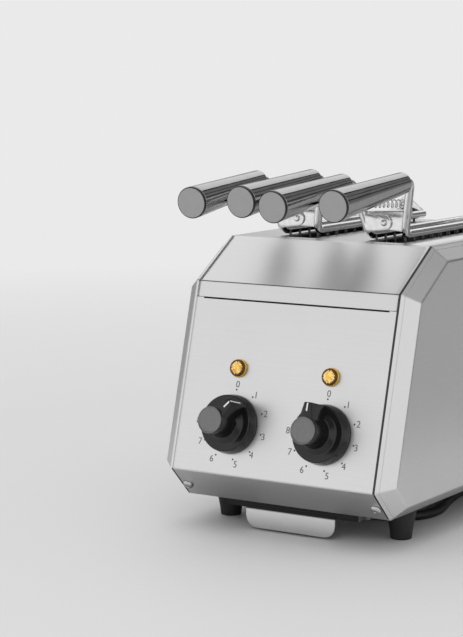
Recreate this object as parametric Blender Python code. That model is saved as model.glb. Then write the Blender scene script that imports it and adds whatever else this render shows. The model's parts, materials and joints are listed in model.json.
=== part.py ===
"""Two-slot toaster with two pairs of sprung bread tongs.

Every piece is its own closed solid, in metres, with +Z up and the front panel facing -Y.
The origin lies on the table, under the middle of the toaster with its tong handles.
"""

from math import acos, atan2, ceil, cos, hypot, pi, radians, sin, tan

import bmesh
import bpy
from mathutils import Matrix, Vector

# Casing profile: a pressed side has a lower chamfer, a leaning face, an upper chamfer and a flat deck
SHEET_WIDTH = 0.172
BODY_DEPTH = 0.380
BOTTOM_HEIGHT = 0.0223
LOWER_FOLD_HEIGHT = 0.0457
UPPER_FOLD_HEIGHT = 0.1829
DECK_HEIGHT = 0.2127
BOTTOM_SETBACK = 0.0237
UPPER_FOLD_SETBACK = 0.0371
DECK_SETBACK = 0.0841
SHEET_GAUGE = 0.0010
FOLD_RADIUS = 0.0026
FIT_GAP = 0.0003
OVERRUN = 0.004

# Side pans
SIDE_BULGE = 0.01166
SIDE_BEVEL = 0.01016

# Front panel, cover seam and bottom flange
SEAM_BELOW_FOLD = 0.0126
SEAM_SLIT_HEIGHT = 0.0016
SEAM_SLIT_WIDTH = 0.157
PANEL_SIDE_GAP = 0.0008
FLANGE_DEPTH = 0.012

# Dials and lamps, measured up the panel from the lower fold
DIAL_SPACING = 0.078
DIAL_HEIGHT = 0.0374
LAMP_HEIGHT = 0.0790
KNOB_RADIUS = 0.0220
KNOB_FACE_RADIUS = 0.0212
KNOB_SKIRT_HEIGHT = 0.0105
KNOB_RIM_ROUND = 0.0009
KNOB_DISH = 0.0015
KNOB_COLLAR_RADIUS = 0.0126
KNOB_COLLAR_HEIGHT = 0.0035
KNOB_BARREL_RADIUS = 0.0102
KNOB_HEIGHT = 0.0310
KNOB_PANEL_GAP = 0.0007
POINTER_REACH = 0.0210
POINTER_TIP_WIDTH = 0.0059
POINTER_ROOT_WIDTH = 0.0120
POINTER_TIP_HEIGHT = 0.0285
LEFT_KNOB_TURN = 42.0

# Timer behind each dial, with its spindle
TIMER_WIDTH = 0.044
TIMER_HEIGHT = 0.040
TIMER_DEPTH = 0.028
SPINDLE_RADIUS = 0.0030
SPINDLE_IN_TIMER = 0.016
SPINDLE_IN_KNOB = 0.014
SPINDLE_HOLE_RADIUS = 0.0045

# Pilot lamp
LENS_RADIUS = 0.0068
LENS_FACE_RADIUS = 0.0053
LENS_SHOULDER = 0.0034
LENS_HEIGHT = 0.0050
LENS_STEM_RADIUS = 0.0048
LENS_STEM_LENGTH = 0.0030
LAMP_BODY_RADIUS = 0.0065
LAMP_BODY_LENGTH = 0.024

# Screws in the lower chamfer
SCREW_INSET = 0.0060
SCREW_ALONG = 0.0197
SCREW_HEAD_RADIUS = 0.0041
SCREW_HEAD_HEIGHT = 0.0026
SCREW_SHANK_RADIUS = 0.0020
SCREW_SHANK_LENGTH = 0.009
SOCKET_RADIUS = 0.0013
SOCKET_DEPTH = 0.0013

# Slots in the deck
SLOT_WIDTH = 0.031
SLOT_FRONT = 0.100
SLOT_CORNER = 0.003

# Base, feet and crumb tray
BASE_GAUGE = 0.0012
BASE_END_INSET = 0.003
CRUMB_WINDOW_WIDTH = 0.104
FOOT_INSET = 0.0122
FOOT_SETBACK = 0.0637
FOOT_TOP_RADIUS = 0.0115
FOOT_BOTTOM_RADIUS = 0.0078
FOOT_ROUND = 0.0008
TRAY_FLOOR_HEIGHT = 0.0165
TRAY_GAUGE = 0.0008
TRAY_WALL_HEIGHT = 0.005
TRAY_WIDTH = 0.1132
TRAY_FRONT = 0.029
TRAY_LENGTH = 0.300
LIP_WIDTH = 0.076
LIP_BOTTOM_HEIGHT = 0.0018
LIP_CORNER = 0.009
RUNNER_GAUGE = 0.0010
RUNNER_LEDGE = 0.006
RUNNER_FRONT = 0.045
RUNNER_LENGTH = 0.278

# Oven core
CORE_WALL_GAUGE = 0.0012
CORE_WALL_MARGIN = 0.006
CORE_WALL_WIDTH = 0.164
HEATER_RADIUS = 0.004
HEATER_END = 0.008
HEATER_LINES = (-0.072, 0.0, 0.072)
HEATER_DROPS = (0.0777, 0.0347)
SHIELD_GAUGE = 0.0008
REST_BAR_RADIUS = 0.002
VENT_COUNT = 6
VENT_WIDTH = 0.060
VENT_HEIGHT = 0.003
VENT_PITCH = 0.008
VENT_LOW = 0.060

# Tongs: a jaw is one bent rod with a wire grid, two stamped hinge plates and a handle
TONG_LEAN = 3.0
PIVOT_HEIGHT = 0.0142
PIVOT_SHIFT = 0.0005
HINGE_FROM_SLOT = 0.0022
ROD_RADIUS = 0.0032
ROD_BEND = 0.0070
RAIL_SPACING = 0.0296
RAIL_DROP = 0.0092
LEG_FOOT_BACK = 0.0034
LEG_TOP_FORWARD = 0.0026
HANDLE_SPACING = 0.0490
TONG_GAP = 0.0032
HANDLE_RISE = 0.0311
TANG_LENGTH = 0.055
HANDLE_DROOP = 5.65
BENT_HANDLE_TOE = 3.5
HANDLE_START = 0.0117
HANDLE_LENGTH = 0.1045
HANDLE_REAR_RADIUS = 0.0081
HANDLE_FRONT_RADIUS = 0.0115
HANDLE_ROUND = 0.003
CAP_FLANGE = 0.0018
CAP_THICKNESS = 0.0045
CAP_RIM = 0.0009
CAP_PROUD = 0.0004
PLATE_GAUGE = 0.0015
PLATE_GAP = 0.0004
PLATE_FRONT = 0.0010
PLATE_EAR_RADIUS = 0.0058
PLATE_RAIL_RADIUS = 0.0030
PLATE_ROOT_HEIGHT = 0.0140
RIVET_RADIUS = 0.0016
RIVET_HEAD_RADIUS = 0.0025
RIVET_HEAD_HEIGHT = 0.0012
CAGE_DEPTH = 0.1050
CAGE_WIRE_RADIUS = 0.0010
CAGE_WIRE_PITCH = 0.0145
CAGE_WIRE_INSET = 0.0022
CAGE_END = 0.009
FOOT_ROD_RADIUS = 0.0015
JAW_GAP = 0.002
BRACE_DROP = 0.050
STOP_BAR_RISE = 0.0066
STOP_BAR_REACH = 0.0190
STOP_BAR_RADIUS = 0.0026
STOP_BAR_BEND = 0.0040
SPRING_RISE = 0.0141
SPRING_RADIUS = 0.0028
SPRING_WIRE_RADIUS = 0.0005
SPRING_CURLS = 9
PEG_RADIUS = 0.0018
PEG_LENGTH = 0.0065

# Mains cord, its gland, coil and plug
CORD_RADIUS = 0.0035
CORD_LIFT = 0.0001
GLAND_SIDE = -0.062
GLAND_FLANGE_RADIUS = 0.0085
GLAND_FLANGE = 0.0025
GLAND_ROOT_RADIUS = 0.0062
GLAND_TIP_RADIUS = 0.0046
GLAND_NOSE = 0.0200
GLAND_NECK_RADIUS = 0.0055
GLAND_TAIL = 0.0060
CORD_SPACING = 0.018
COIL_OUTER = 0.0450
COIL_STEP = 0.0076
COIL_LAYER = 0.0076
COIL_TURNS = 2
COIL_CENTRE = (0.063, 0.428)
COIL_RING_POINTS = 24
PLUG_LEAD = 0.045
PLUG_RADIUS = 0.0180
PLUG_WAIST_RADIUS = 0.0125
PLUG_NECK_RADIUS = 0.0055
PLUG_FACE = 0.012
PLUG_BODY = 0.026
PLUG_NECK = 0.018
PIN_RADIUS = 0.0024
PIN_LENGTH = 0.019
PIN_SPACING = 0.019

# Route of the cord on the table behind and under the toaster, from the foot of its drop to the coil
CORD_ROUTE = (
    (-0.0620, 0.4320),
    (-0.0580, 0.4470),
    (-0.0470, 0.4580),
    (-0.0320, 0.4620),
    (-0.0170, 0.4580),
    (-0.0060, 0.4470),
    (-0.0020, 0.4320),
    (-0.0020, 0.4000),
    (-0.0020, 0.3500),
    (-0.0020, 0.2850),
    (-0.0020, 0.2250),
    (-0.0020, 0.1750),
    (-0.0015, 0.1385),
    (0.0027, 0.1223),
    (0.0145, 0.1104),
    (0.0307, 0.1060),
    (0.0469, 0.1104),
    (0.0588, 0.1223),
    (0.0630, 0.1385),
    (0.0610, 0.1550),
    (0.0565, 0.1710),
    (0.0525, 0.1870),
    (0.0490, 0.2060),
    (0.0440, 0.2450),
    (0.0355, 0.2900),
    (0.0255, 0.3350),
    (0.0185, 0.3800),
)

ROUND_SIDES = 24
PLUG_SIDES = 16
ROD_SIDES = 8
WIRE_SIDES = 6
ARC_STEPS = 4

MATERIALS = {
    "casing_steel": ((0.62, 0.62, 0.62, 1.0), 0.30, 1.0),
    "base_steel": ((0.42, 0.42, 0.42, 1.0), 0.40, 1.0),
    "core_steel": ((0.50, 0.50, 0.49, 1.0), 0.45, 1.0),
    "tray_steel": ((0.60, 0.60, 0.60, 1.0), 0.30, 1.0),
    "chrome_rod": ((0.78, 0.78, 0.78, 1.0), 0.12, 1.0),
    "handle_chrome": ((0.30, 0.30, 0.30, 1.0), 0.14, 1.0),
    "handle_cap": ((0.28, 0.28, 0.28, 1.0), 0.45, 0.0),
    "knob_black": ((0.012, 0.012, 0.012, 1.0), 0.25, 0.0),
    "timer_case": ((0.75, 0.73, 0.68, 1.0), 0.50, 0.0),
    "amber_lens": ((0.80, 0.38, 0.03, 1.0), 0.10, 0.0),
    "lamp_case": ((0.10, 0.10, 0.10, 1.0), 0.45, 0.0),
    "screw_steel": ((0.60, 0.60, 0.60, 1.0), 0.25, 1.0),
    "foot_rubber": ((0.015, 0.015, 0.015, 1.0), 0.55, 0.0),
    "heater_sheath": ((0.22, 0.21, 0.20, 1.0), 0.50, 1.0),
    "cord_rubber": ((0.012, 0.012, 0.012, 1.0), 0.50, 0.0),
    "pin_brass": ((0.70, 0.68, 0.60, 1.0), 0.25, 1.0),
}


def clear_scene():
    for thing in list(bpy.data.objects):
        bpy.data.objects.remove(thing, do_unlink=True)


def get_material(name):
    made = bpy.data.materials.get(name)
    if made is None:
        colour, roughness, metallic = MATERIALS[name]
        made = bpy.data.materials.new(name)
        made.use_nodes = True
        shader = made.node_tree.nodes["Principled BSDF"]
        shader.inputs["Base Color"].default_value = colour
        shader.inputs["Roughness"].default_value = roughness
        shader.inputs["Metallic"].default_value = metallic
        made.diffuse_color = colour
    return made


def add_empty(name, parent=None, location=(0, 0, 0), rotation=(0, 0, 0)):
    empty = bpy.data.objects.new(name, None)
    bpy.context.scene.collection.objects.link(empty)
    empty.parent = parent
    empty.location = location
    empty.rotation_euler = rotation
    return empty


def add_object(name, data, parent, finish=None, smooth=False, location=(0, 0, 0), rotation=(0, 0, 0)):
    thing = bpy.data.objects.new(name, data)
    bpy.context.scene.collection.objects.link(thing)
    thing.parent = parent
    thing.location = location
    thing.rotation_euler = rotation
    if finish:
        data.materials.append(get_material(finish))
    if smooth:
        data.shade_smooth()
        data.set_sharp_from_angle(angle=radians(35))
    return thing


def ring_mesh(name, rings, loop=False):
    """Closed skin over rings of equal point counts: capped at both ends, or joined last to first."""
    shape = bmesh.new()
    loops = [[shape.verts.new(point) for point in ring] for ring in rings]
    pairs = list(zip(loops, loops[1:]))
    if loop:
        pairs.append((loops[-1], loops[0]))
    else:
        shape.faces.new(loops[0])
        shape.faces.new(loops[-1])
    for first, second in pairs:
        for index in range(len(first)):
            after = (index + 1) % len(first)
            shape.faces.new((first[index], first[after], second[after], second[index]))
    bmesh.ops.recalc_face_normals(shape, faces=shape.faces)
    mesh = bpy.data.meshes.new(name)
    shape.to_mesh(mesh)
    shape.free()
    return mesh


def turned_mesh(name, profile, sides=ROUND_SIDES, loop=False):
    """Profile points (radius, height) turned about Z."""
    turns = [2 * pi * index / sides for index in range(sides)]
    rings = [[(radius * cos(turn), radius * sin(turn), height) for turn in turns] for radius, height in profile]
    return ring_mesh(name, rings, loop)


def box_mesh(name, low, high):
    corners = ((low[0], low[1]), (high[0], low[1]), (high[0], high[1]), (low[0], high[1]))
    return ring_mesh(name, [[(x, y, height) for x, y in corners] for height in (low[2], high[2])])


def swept_mesh(name, path, radius, sides):
    """Round rod of one radius along a path, its rings carried without twist."""
    path = [Vector(point) for point in path]
    heading = (path[1] - path[0]).normalized()
    side = heading.orthogonal().normalized()
    rings = []
    for index, point in enumerate(path):
        before = path[max(index - 1, 0)]
        after = path[min(index + 1, len(path) - 1)]
        ahead = (after - before).normalized()
        side = (heading.rotation_difference(ahead) @ side).normalized()
        heading = ahead
        across = heading.cross(side)
        lean = 1.0
        if 0 < index < len(path) - 1:
            lean = 1 / cos((point - before).angle(after - point) / 2)
        bend = (after - point).normalized() - (point - before).normalized()
        bend = bend.normalized() if 0 < index < len(path) - 1 and bend.length > 0 else Vector()
        ring = []
        for step in range(sides):
            turn = 2 * pi * (step + 0.5) / sides
            arm = (side * cos(turn) + across * sin(turn)) * radius
            ring.append(point + arm + bend * arm.dot(bend) * (lean - 1))
        rings.append(ring)
    return ring_mesh(name, rings)


def rounded_path(corners, radius, steps=ARC_STEPS):
    """Straight runs between corners, with each inner corner turned into an arc."""
    corners = [Vector(corner) for corner in corners]
    points = [corners[0]]
    for before, corner, after in zip(corners, corners[1:], corners[2:]):
        back = before - corner
        ahead = after - corner
        half = back.angle(ahead) / 2
        reach = min(radius / tan(half), back.length / 2, ahead.length / 2)
        back.normalize()
        ahead.normalize()
        centre = corner + (back + ahead).normalized() * reach / cos(half)
        start = corner + back * reach - centre
        end = corner + ahead * reach - centre
        turn = pi - 2 * half
        for step in range(steps + 1):
            share = step / steps
            points.append(centre + (start * sin((1 - share) * turn) + end * sin(share * turn)) / sin(turn))
    points.append(corners[-1])
    return points


def sheet_mesh(name, path, gauge, half_width):
    """Folded sheet: a path in the YZ plane thickened to its left and drawn across X."""
    inner = []
    for index, point in enumerate(path):
        before = path[max(index - 1, 0)]
        after = path[min(index + 1, len(path) - 1)]
        first = (point - before).normalized() if index else (after - point).normalized()
        second = (after - point).normalized() if index < len(path) - 1 else first
        middle = (first + second).normalized()
        left = Vector((0, -middle.z, middle.y))
        inner.append(point + left * gauge / middle.dot(first))
    rings = []
    for outside, inside in zip(path, inner):
        corners = ((-half_width, outside), (half_width, outside), (half_width, inside), (-half_width, inside))
        rings.append([(x, point.y, point.z) for x, point in corners])
    return ring_mesh(name, rings)


def inset_outline(outline, distance):
    """Closed outline (y, z) moved inwards by a distance, with mitred corners."""
    moved = []
    for index, point in enumerate(outline):
        first = (point - outline[index - 1]).normalized()
        second = (outline[(index + 1) % len(outline)] - point).normalized()
        middle = (first + second).normalized()
        left = Vector((0, -middle.z, middle.y))
        moved.append(point + left * distance / middle.dot(first))
    return moved


def hide_tool(tool):
    tool.hide_render = True
    tool.display_type = "WIRE"
    return tool


def combine(target, tool, operation):
    hide_tool(tool)
    step = target.modifiers.new(tool.name, "BOOLEAN")
    step.operation = operation
    step.solver = "EXACT"
    step.object = tool


def cut(target, tool):
    combine(target, tool, "DIFFERENCE")


def join(target, tool):
    combine(target, tool, "UNION")


def round_cutter(name, parent, radius, low, high, location=(0, 0, 0), rotation=(0, 0, 0), sides=ROUND_SIDES):
    mesh = turned_mesh(name, ((radius, low), (radius, high)), sides)
    return add_object(name, mesh, parent, location=location, rotation=rotation)


def box_cutter(name, parent, low, high):
    return add_object(name, box_mesh(name, low, high), parent)


# Casing corners in the YZ plane, with the lower front fold at y = 0
FRONT_BOTTOM = Vector((0, BOTTOM_SETBACK, BOTTOM_HEIGHT))
FRONT_LOW = Vector((0, 0, LOWER_FOLD_HEIGHT))
FRONT_HIGH = Vector((0, UPPER_FOLD_SETBACK, UPPER_FOLD_HEIGHT))
FRONT_DECK = Vector((0, DECK_SETBACK, DECK_HEIGHT))
PANEL_UP = (FRONT_HIGH - FRONT_LOW).normalized()
PANEL_LEAN = atan2(PANEL_UP.y, PANEL_UP.z)
CHAMFER_ANGLE = atan2(LOWER_FOLD_HEIGHT - BOTTOM_HEIGHT, BOTTOM_SETBACK)
SEAM_FROM_LOW = (FRONT_HIGH - FRONT_LOW).length - SEAM_BELOW_FOLD
INSIDE_HEIGHT = BOTTOM_HEIGHT + SHEET_GAUGE + FIT_GAP
BASE_TOP = INSIDE_HEIGHT + BASE_GAUGE
DECK_UNDERSIDE = DECK_HEIGHT - SHEET_GAUGE
CORE_FRONT = SLOT_FRONT - CORE_WALL_MARGIN
DROOP = radians(HANDLE_DROOP)
LEAN = radians(TONG_LEAN)
HINGE_PLANE = SLOT_FRONT + HINGE_FROM_SLOT
SLOT_SPACING = HANDLE_SPACING + 2 * HANDLE_FRONT_RADIUS + TONG_GAP
HANDLE_NOSE = HINGE_PLANE - LEG_TOP_FORWARD - (HANDLE_START + HANDLE_LENGTH + CAP_PROUD) * cos(DROOP)
HANDLE_NOSE_EDGE = HANDLE_NOSE - (HANDLE_FRONT_RADIUS - CAP_PROUD) * sin(DROOP)
KNOB_NOSE_EDGE = (DIAL_HEIGHT - KNOB_BARREL_RADIUS + KNOB_RIM_ROUND) * sin(PANEL_LEAN) - KNOB_HEIGHT * cos(PANEL_LEAN)
ORIGIN_SHIFT = (BODY_DEPTH + min(HANDLE_NOSE_EDGE, KNOB_NOSE_EDGE)) / 2


def mirrored(point):
    return Vector((point.x, BODY_DEPTH - point.y, point.z))


def face_frame(name, parent, rear=False):
    """Empty at a lower fold: local X runs across, Y up the leaning face and Z out of it."""
    if rear:
        return add_empty(name, parent, mirrored(FRONT_LOW), (pi / 2 - PANEL_LEAN, 0, pi))
    return add_empty(name, parent, FRONT_LOW, (pi / 2 - PANEL_LEAN, 0, 0))


def chamfer_frame(name, parent, rear=False):
    """Empty at a lower fold: local Y runs down the lower chamfer and Z out of it."""
    tilt = pi + CHAMFER_ANGLE
    turn = 0 if rear else pi
    spot = mirrored(FRONT_LOW) if rear else FRONT_LOW
    frame = add_empty(name, parent, spot, (0, 0, turn))
    return add_empty(name + "_tilt", frame, (0, 0, 0), (tilt, 0, 0))


def make_casing(body, front, rear, front_chamfer, rear_chamfer):
    half_width = SHEET_WIDTH / 2 - FIT_GAP
    panel_half = SHEET_WIDTH / 2 - PANEL_SIDE_GAP
    seam = FRONT_LOW + PANEL_UP * SEAM_FROM_LOW
    panel_top = FRONT_LOW + PANEL_UP * (SEAM_FROM_LOW - FIT_GAP)
    flange_end = FRONT_BOTTOM + Vector((0, FLANGE_DEPTH, 0))
    panel_corners = (panel_top, FRONT_LOW, FRONT_BOTTOM, flange_end)
    panel_path = rounded_path(panel_corners, FOLD_RADIUS)
    rear_path = [mirrored(point) for point in reversed(panel_path)]
    cover_corners = (seam, FRONT_HIGH, FRONT_DECK)
    cover_corners += tuple(mirrored(point) for point in reversed(cover_corners))
    cover_path = rounded_path(cover_corners, FOLD_RADIUS)
    cover_path.reverse()

    panel = add_object("front_panel", sheet_mesh("front_panel", panel_path, SHEET_GAUGE, panel_half),
                       body, "casing_steel")
    back = add_object("rear_panel", sheet_mesh("rear_panel", rear_path, SHEET_GAUGE, panel_half),
                      body, "casing_steel")
    cover = add_object("top_cover", sheet_mesh("top_cover", cover_path, SHEET_GAUGE, half_width),
                       body, "casing_steel")

    for side, spot in (("left", -DIAL_SPACING / 2), ("right", DIAL_SPACING / 2)):
        for kind, radius, height in (("spindle", SPINDLE_HOLE_RADIUS, DIAL_HEIGHT),
                                     ("lamp", LENS_STEM_RADIUS + FIT_GAP, LAMP_HEIGHT)):
            name = f"{kind}_hole_{side}"
            cut(panel, round_cutter(name, front, radius, -OVERRUN, OVERRUN, (spot, height, 0)))
        across = (SHEET_WIDTH / 2 - SCREW_INSET) * (1 if side == "left" else -1)
        cut(panel, round_cutter(f"screw_hole_{side}", front_chamfer, SCREW_SHANK_RADIUS + FIT_GAP,
                                -OVERRUN, OVERRUN, (across, SCREW_ALONG, 0)))
        centre = SLOT_SPACING / 2 * (-1 if side == "left" else 1)
        slot = add_object(f"slot_cut_{side}", rounded_slot(f"slot_cut_{side}", centre), body)
        cut(cover, slot)
    slit = (SEAM_SLIT_WIDTH / 2, SEAM_FROM_LOW - SEAM_SLIT_HEIGHT)
    cut(panel, box_cutter("seam_slit", front, (-slit[0], slit[1], -OVERRUN),
                          (slit[0], SEAM_FROM_LOW + OVERRUN, OVERRUN)))
    cut(back, round_cutter("gland_hole", rear_chamfer, GLAND_NECK_RADIUS + FIT_GAP, -OVERRUN, OVERRUN,
                           (GLAND_SIDE, chamfer_middle(), 0)))
    for index in range(VENT_COUNT):
        low = VENT_LOW + index * VENT_PITCH
        cut(back, box_cutter(f"vent_{index}", rear, (-VENT_WIDTH / 2, low, -OVERRUN),
                             (VENT_WIDTH / 2, low + VENT_HEIGHT, OVERRUN)))


def rounded_slot(name, centre):
    """Slot cutter: a rectangle with round corners, drawn through the deck."""
    low = (centre - SLOT_WIDTH / 2 + SLOT_CORNER, SLOT_FRONT + SLOT_CORNER)
    high = (centre + SLOT_WIDTH / 2 - SLOT_CORNER, BODY_DEPTH - SLOT_FRONT - SLOT_CORNER)
    corners = ((high[0], high[1], 0), (low[0], high[1], 1), (low[0], low[1], 2), (high[0], low[1], 3))
    outline = []
    for x, y, quarter in corners:
        for step in range(ARC_STEPS + 1):
            turn = (quarter + step / ARC_STEPS) * pi / 2
            outline.append((x + SLOT_CORNER * cos(turn), y + SLOT_CORNER * sin(turn)))
    levels = (DECK_HEIGHT - OVERRUN, DECK_HEIGHT + OVERRUN)
    return ring_mesh(name, [[(x, y, level) for x, y in outline] for level in levels])


def chamfer_middle():
    return hypot(BOTTOM_SETBACK, LOWER_FOLD_HEIGHT - BOTTOM_HEIGHT) / 2


def make_side_pans(body):
    outline = [FRONT_BOTTOM, FRONT_LOW, FRONT_HIGH, FRONT_DECK]
    outline += [mirrored(point) for point in reversed(outline)]
    outline.reverse()
    rim = SHEET_WIDTH / 2
    for side, sign in (("left", -1), ("right", 1)):
        levels = (
            (SIDE_BEVEL, rim + SIDE_BULGE),
            (0, rim),
            (SHEET_GAUGE, rim),
            (SIDE_BEVEL + SHEET_GAUGE / 2, rim + SIDE_BULGE - SHEET_GAUGE),
        )
        rings = []
        for inset, reach in levels:
            rings.append([(sign * reach, point.y, point.z) for point in inset_outline(outline, inset)])
        add_object(f"side_panel_{side}", ring_mesh(f"side_panel_{side}", rings), body, "casing_steel")


def make_base(body):
    half_width = SHEET_WIDTH / 2 - FIT_GAP
    front = BOTTOM_SETBACK + BASE_END_INSET
    low = (-half_width, front, INSIDE_HEIGHT)
    base = add_object("base_plate", box_mesh("base_plate", low, (half_width, BODY_DEPTH - front, BASE_TOP)),
                      body, "base_steel")
    window_front = CORE_FRONT + CORE_WALL_MARGIN
    cut(base, box_cutter("crumb_window", body, (-CRUMB_WINDOW_WIDTH / 2, window_front, INSIDE_HEIGHT - OVERRUN),
                         (CRUMB_WINDOW_WIDTH / 2, BODY_DEPTH - window_front, BASE_TOP + OVERRUN)))
    foot_top = INSIDE_HEIGHT - FIT_GAP
    profile = (
        (FOOT_BOTTOM_RADIUS - FOOT_ROUND, 0),
        (FOOT_BOTTOM_RADIUS, FOOT_ROUND),
        (FOOT_TOP_RADIUS, foot_top - FOOT_ROUND),
        (FOOT_TOP_RADIUS - FOOT_ROUND, foot_top),
    )
    across = SHEET_WIDTH / 2 - FOOT_INSET
    for end, depth in (("front", FOOT_SETBACK), ("rear", BODY_DEPTH - FOOT_SETBACK)):
        for side, spot in (("left", -across), ("right", across)):
            name = f"foot_{end}_{side}"
            add_object(name, turned_mesh(name, profile), body, "foot_rubber", True, (spot, depth, 0))


def make_tray(body):
    half = TRAY_WIDTH / 2
    floor = TRAY_FLOOR_HEIGHT
    top = floor + TRAY_WALL_HEIGHT
    rear = TRAY_FRONT + TRAY_LENGTH
    tray = add_object("crumb_tray", box_mesh("crumb_tray", (-half, TRAY_FRONT, floor), (half, rear, top)),
                      body, "tray_steel")
    cut(tray, box_cutter("tray_hollow", body,
                         (TRAY_GAUGE - half, TRAY_FRONT + TRAY_GAUGE, floor + TRAY_GAUGE),
                         (half - TRAY_GAUGE, rear - TRAY_GAUGE, top + OVERRUN)))
    outline = [(-LIP_WIDTH / 2, floor + TRAY_WALL_HEIGHT / 2), (LIP_WIDTH / 2, floor + TRAY_WALL_HEIGHT / 2)]
    for side, quarter in ((1, 0), (-1, 1)):
        for step in range(ARC_STEPS + 1):
            turn = (quarter + step / ARC_STEPS) * pi / 2
            x = side * (LIP_WIDTH / 2 - LIP_CORNER) + LIP_CORNER * cos(turn)
            outline.append((x, LIP_BOTTOM_HEIGHT + LIP_CORNER - LIP_CORNER * sin(turn)))
    depths = (TRAY_FRONT - TRAY_GAUGE / 2, TRAY_FRONT + TRAY_GAUGE / 2)
    join(tray, add_object("tray_lip", ring_mesh("tray_lip", [[(x, y, z) for x, z in outline] for y in depths]),
                          body))
    web = half + FIT_GAP
    hang = INSIDE_HEIGHT - FIT_GAP
    ledge_top = floor - FIT_GAP
    ledge_low = ledge_top - RUNNER_GAUGE
    for side, sign in (("left", -1), ("right", 1)):
        profile = ((web + RUNNER_GAUGE, hang), (web, hang), (web, ledge_top), (web - RUNNER_LEDGE, ledge_top),
                   (web - RUNNER_LEDGE, ledge_low), (web + RUNNER_GAUGE, ledge_low))
        rings = [[(sign * x, y, z) for x, z in profile] for y in (RUNNER_FRONT, RUNNER_FRONT + RUNNER_LENGTH)]
        add_object(f"tray_runner_{side}", ring_mesh(f"tray_runner_{side}", rings), body, "core_steel")


def heater_spots():
    for line, across in zip(("left", "middle", "right"), HEATER_LINES):
        for level, drop in zip(("lower", "upper"), HEATER_DROPS):
            yield f"heater_{line}_{level}", across, DECK_HEIGHT - drop


def tong_pivot(sign):
    return Vector((sign * SLOT_SPACING / 2 - PIVOT_SHIFT, HINGE_PLANE, DECK_HEIGHT + PIVOT_HEIGHT))


def rest_spot(sign):
    """Place of the bar that a fixed jaw's foot rod stands on."""
    foot = Vector((JAW_GAP / 2 + FOOT_ROD_RADIUS, 0, -RAIL_DROP - CAGE_DEPTH))
    foot.rotate(Matrix.Rotation(-LEAN, 3, "Y"))
    spot = tong_pivot(sign) + foot
    return spot.x, spot.z - FOOT_ROD_RADIUS - FIT_GAP - REST_BAR_RADIUS


def make_core(body):
    half = CORE_WALL_WIDTH / 2
    low_edge = BASE_TOP + FIT_GAP
    high_edge = DECK_UNDERSIDE - FIT_GAP
    rods = [(name, across, height, HEATER_RADIUS, "heater_sheath") for name, across, height in heater_spots()]
    for side, sign in (("left", -1), ("right", 1)):
        rods.append((f"tong_rest_{side}", *rest_spot(sign), REST_BAR_RADIUS, "core_steel"))
    walls = {
        "core_front_wall": (CORE_FRONT - CORE_WALL_GAUGE, CORE_FRONT),
        "core_rear_wall": (BODY_DEPTH - CORE_FRONT, BODY_DEPTH - CORE_FRONT + CORE_WALL_GAUGE),
    }
    for wall, (near, far) in walls.items():
        plate = add_object(wall, box_mesh(wall, (-half, near, low_edge), (half, far, high_edge)),
                           body, "core_steel")
        for name, across, height, radius, _ in rods:
            cut(plate, round_cutter(f"{wall}_{name}", body, radius + FIT_GAP, -OVERRUN, OVERRUN,
                                    (across, (near + far) / 2, height), (pi / 2, 0, 0), ROUND_SIDES // 2))
    start = CORE_FRONT - CORE_WALL_GAUGE - HEATER_END
    for name, across, height, radius, finish in rods:
        mesh = turned_mesh(name, ((radius, 0), (radius, BODY_DEPTH - 2 * start)), ROUND_SIDES // 2)
        add_object(name, mesh, body, finish, True, (across, start, height), (-pi / 2, 0, 0))
    for side, sign in (("left", -1), ("right", 1)):
        x = sorted((sign * (half - SHIELD_GAUGE), sign * half))
        name = f"heat_shield_{side}"
        mesh = box_mesh(name, (x[0], CORE_FRONT + FIT_GAP, low_edge),
                        (x[1], BODY_DEPTH - CORE_FRONT - FIT_GAP, high_edge))
        add_object(name, mesh, body, "core_steel")


def knob_mesh(name):
    low = KNOB_PANEL_GAP
    skirt = KNOB_SKIRT_HEIGHT
    bore = SPINDLE_RADIUS + FIT_GAP
    bore_end = SPINDLE_IN_KNOB + FIT_GAP
    profile = (
        (bore, bore_end),
        (bore, low),
        (KNOB_RADIUS, low),
        (KNOB_FACE_RADIUS, skirt - KNOB_RIM_ROUND),
        (KNOB_FACE_RADIUS - KNOB_RIM_ROUND, skirt),
        (KNOB_COLLAR_RADIUS, skirt - KNOB_DISH),
        (KNOB_COLLAR_RADIUS, skirt + KNOB_COLLAR_HEIGHT),
        (KNOB_BARREL_RADIUS, skirt + KNOB_COLLAR_HEIGHT),
        (KNOB_BARREL_RADIUS, KNOB_HEIGHT - KNOB_RIM_ROUND),
        (KNOB_BARREL_RADIUS - KNOB_RIM_ROUND, KNOB_HEIGHT),
    )
    return turned_mesh(name, profile)


def pointer_mesh(name):
    """Wedge fin: wide at the barrel, narrow at the rim, its front edge sloping outwards."""
    root = KNOB_BARREL_RADIUS / 2
    base = KNOB_SKIRT_HEIGHT / 2
    root_top = KNOB_HEIGHT - KNOB_RIM_ROUND * 2
    tip_base = POINTER_REACH - KNOB_RIM_ROUND / 2
    low = [(-POINTER_ROOT_WIDTH / 2, root, base), (POINTER_ROOT_WIDTH / 2, root, base),
           (POINTER_TIP_WIDTH / 2, tip_base, base), (-POINTER_TIP_WIDTH / 2, tip_base, base)]
    high = [(-POINTER_ROOT_WIDTH / 2, root, root_top), (POINTER_ROOT_WIDTH / 2, root, root_top),
            (POINTER_TIP_WIDTH / 2, tip_base, POINTER_TIP_HEIGHT),
            (-POINTER_TIP_WIDTH / 2, tip_base, POINTER_TIP_HEIGHT)]
    return ring_mesh(name, [low, high])


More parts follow.
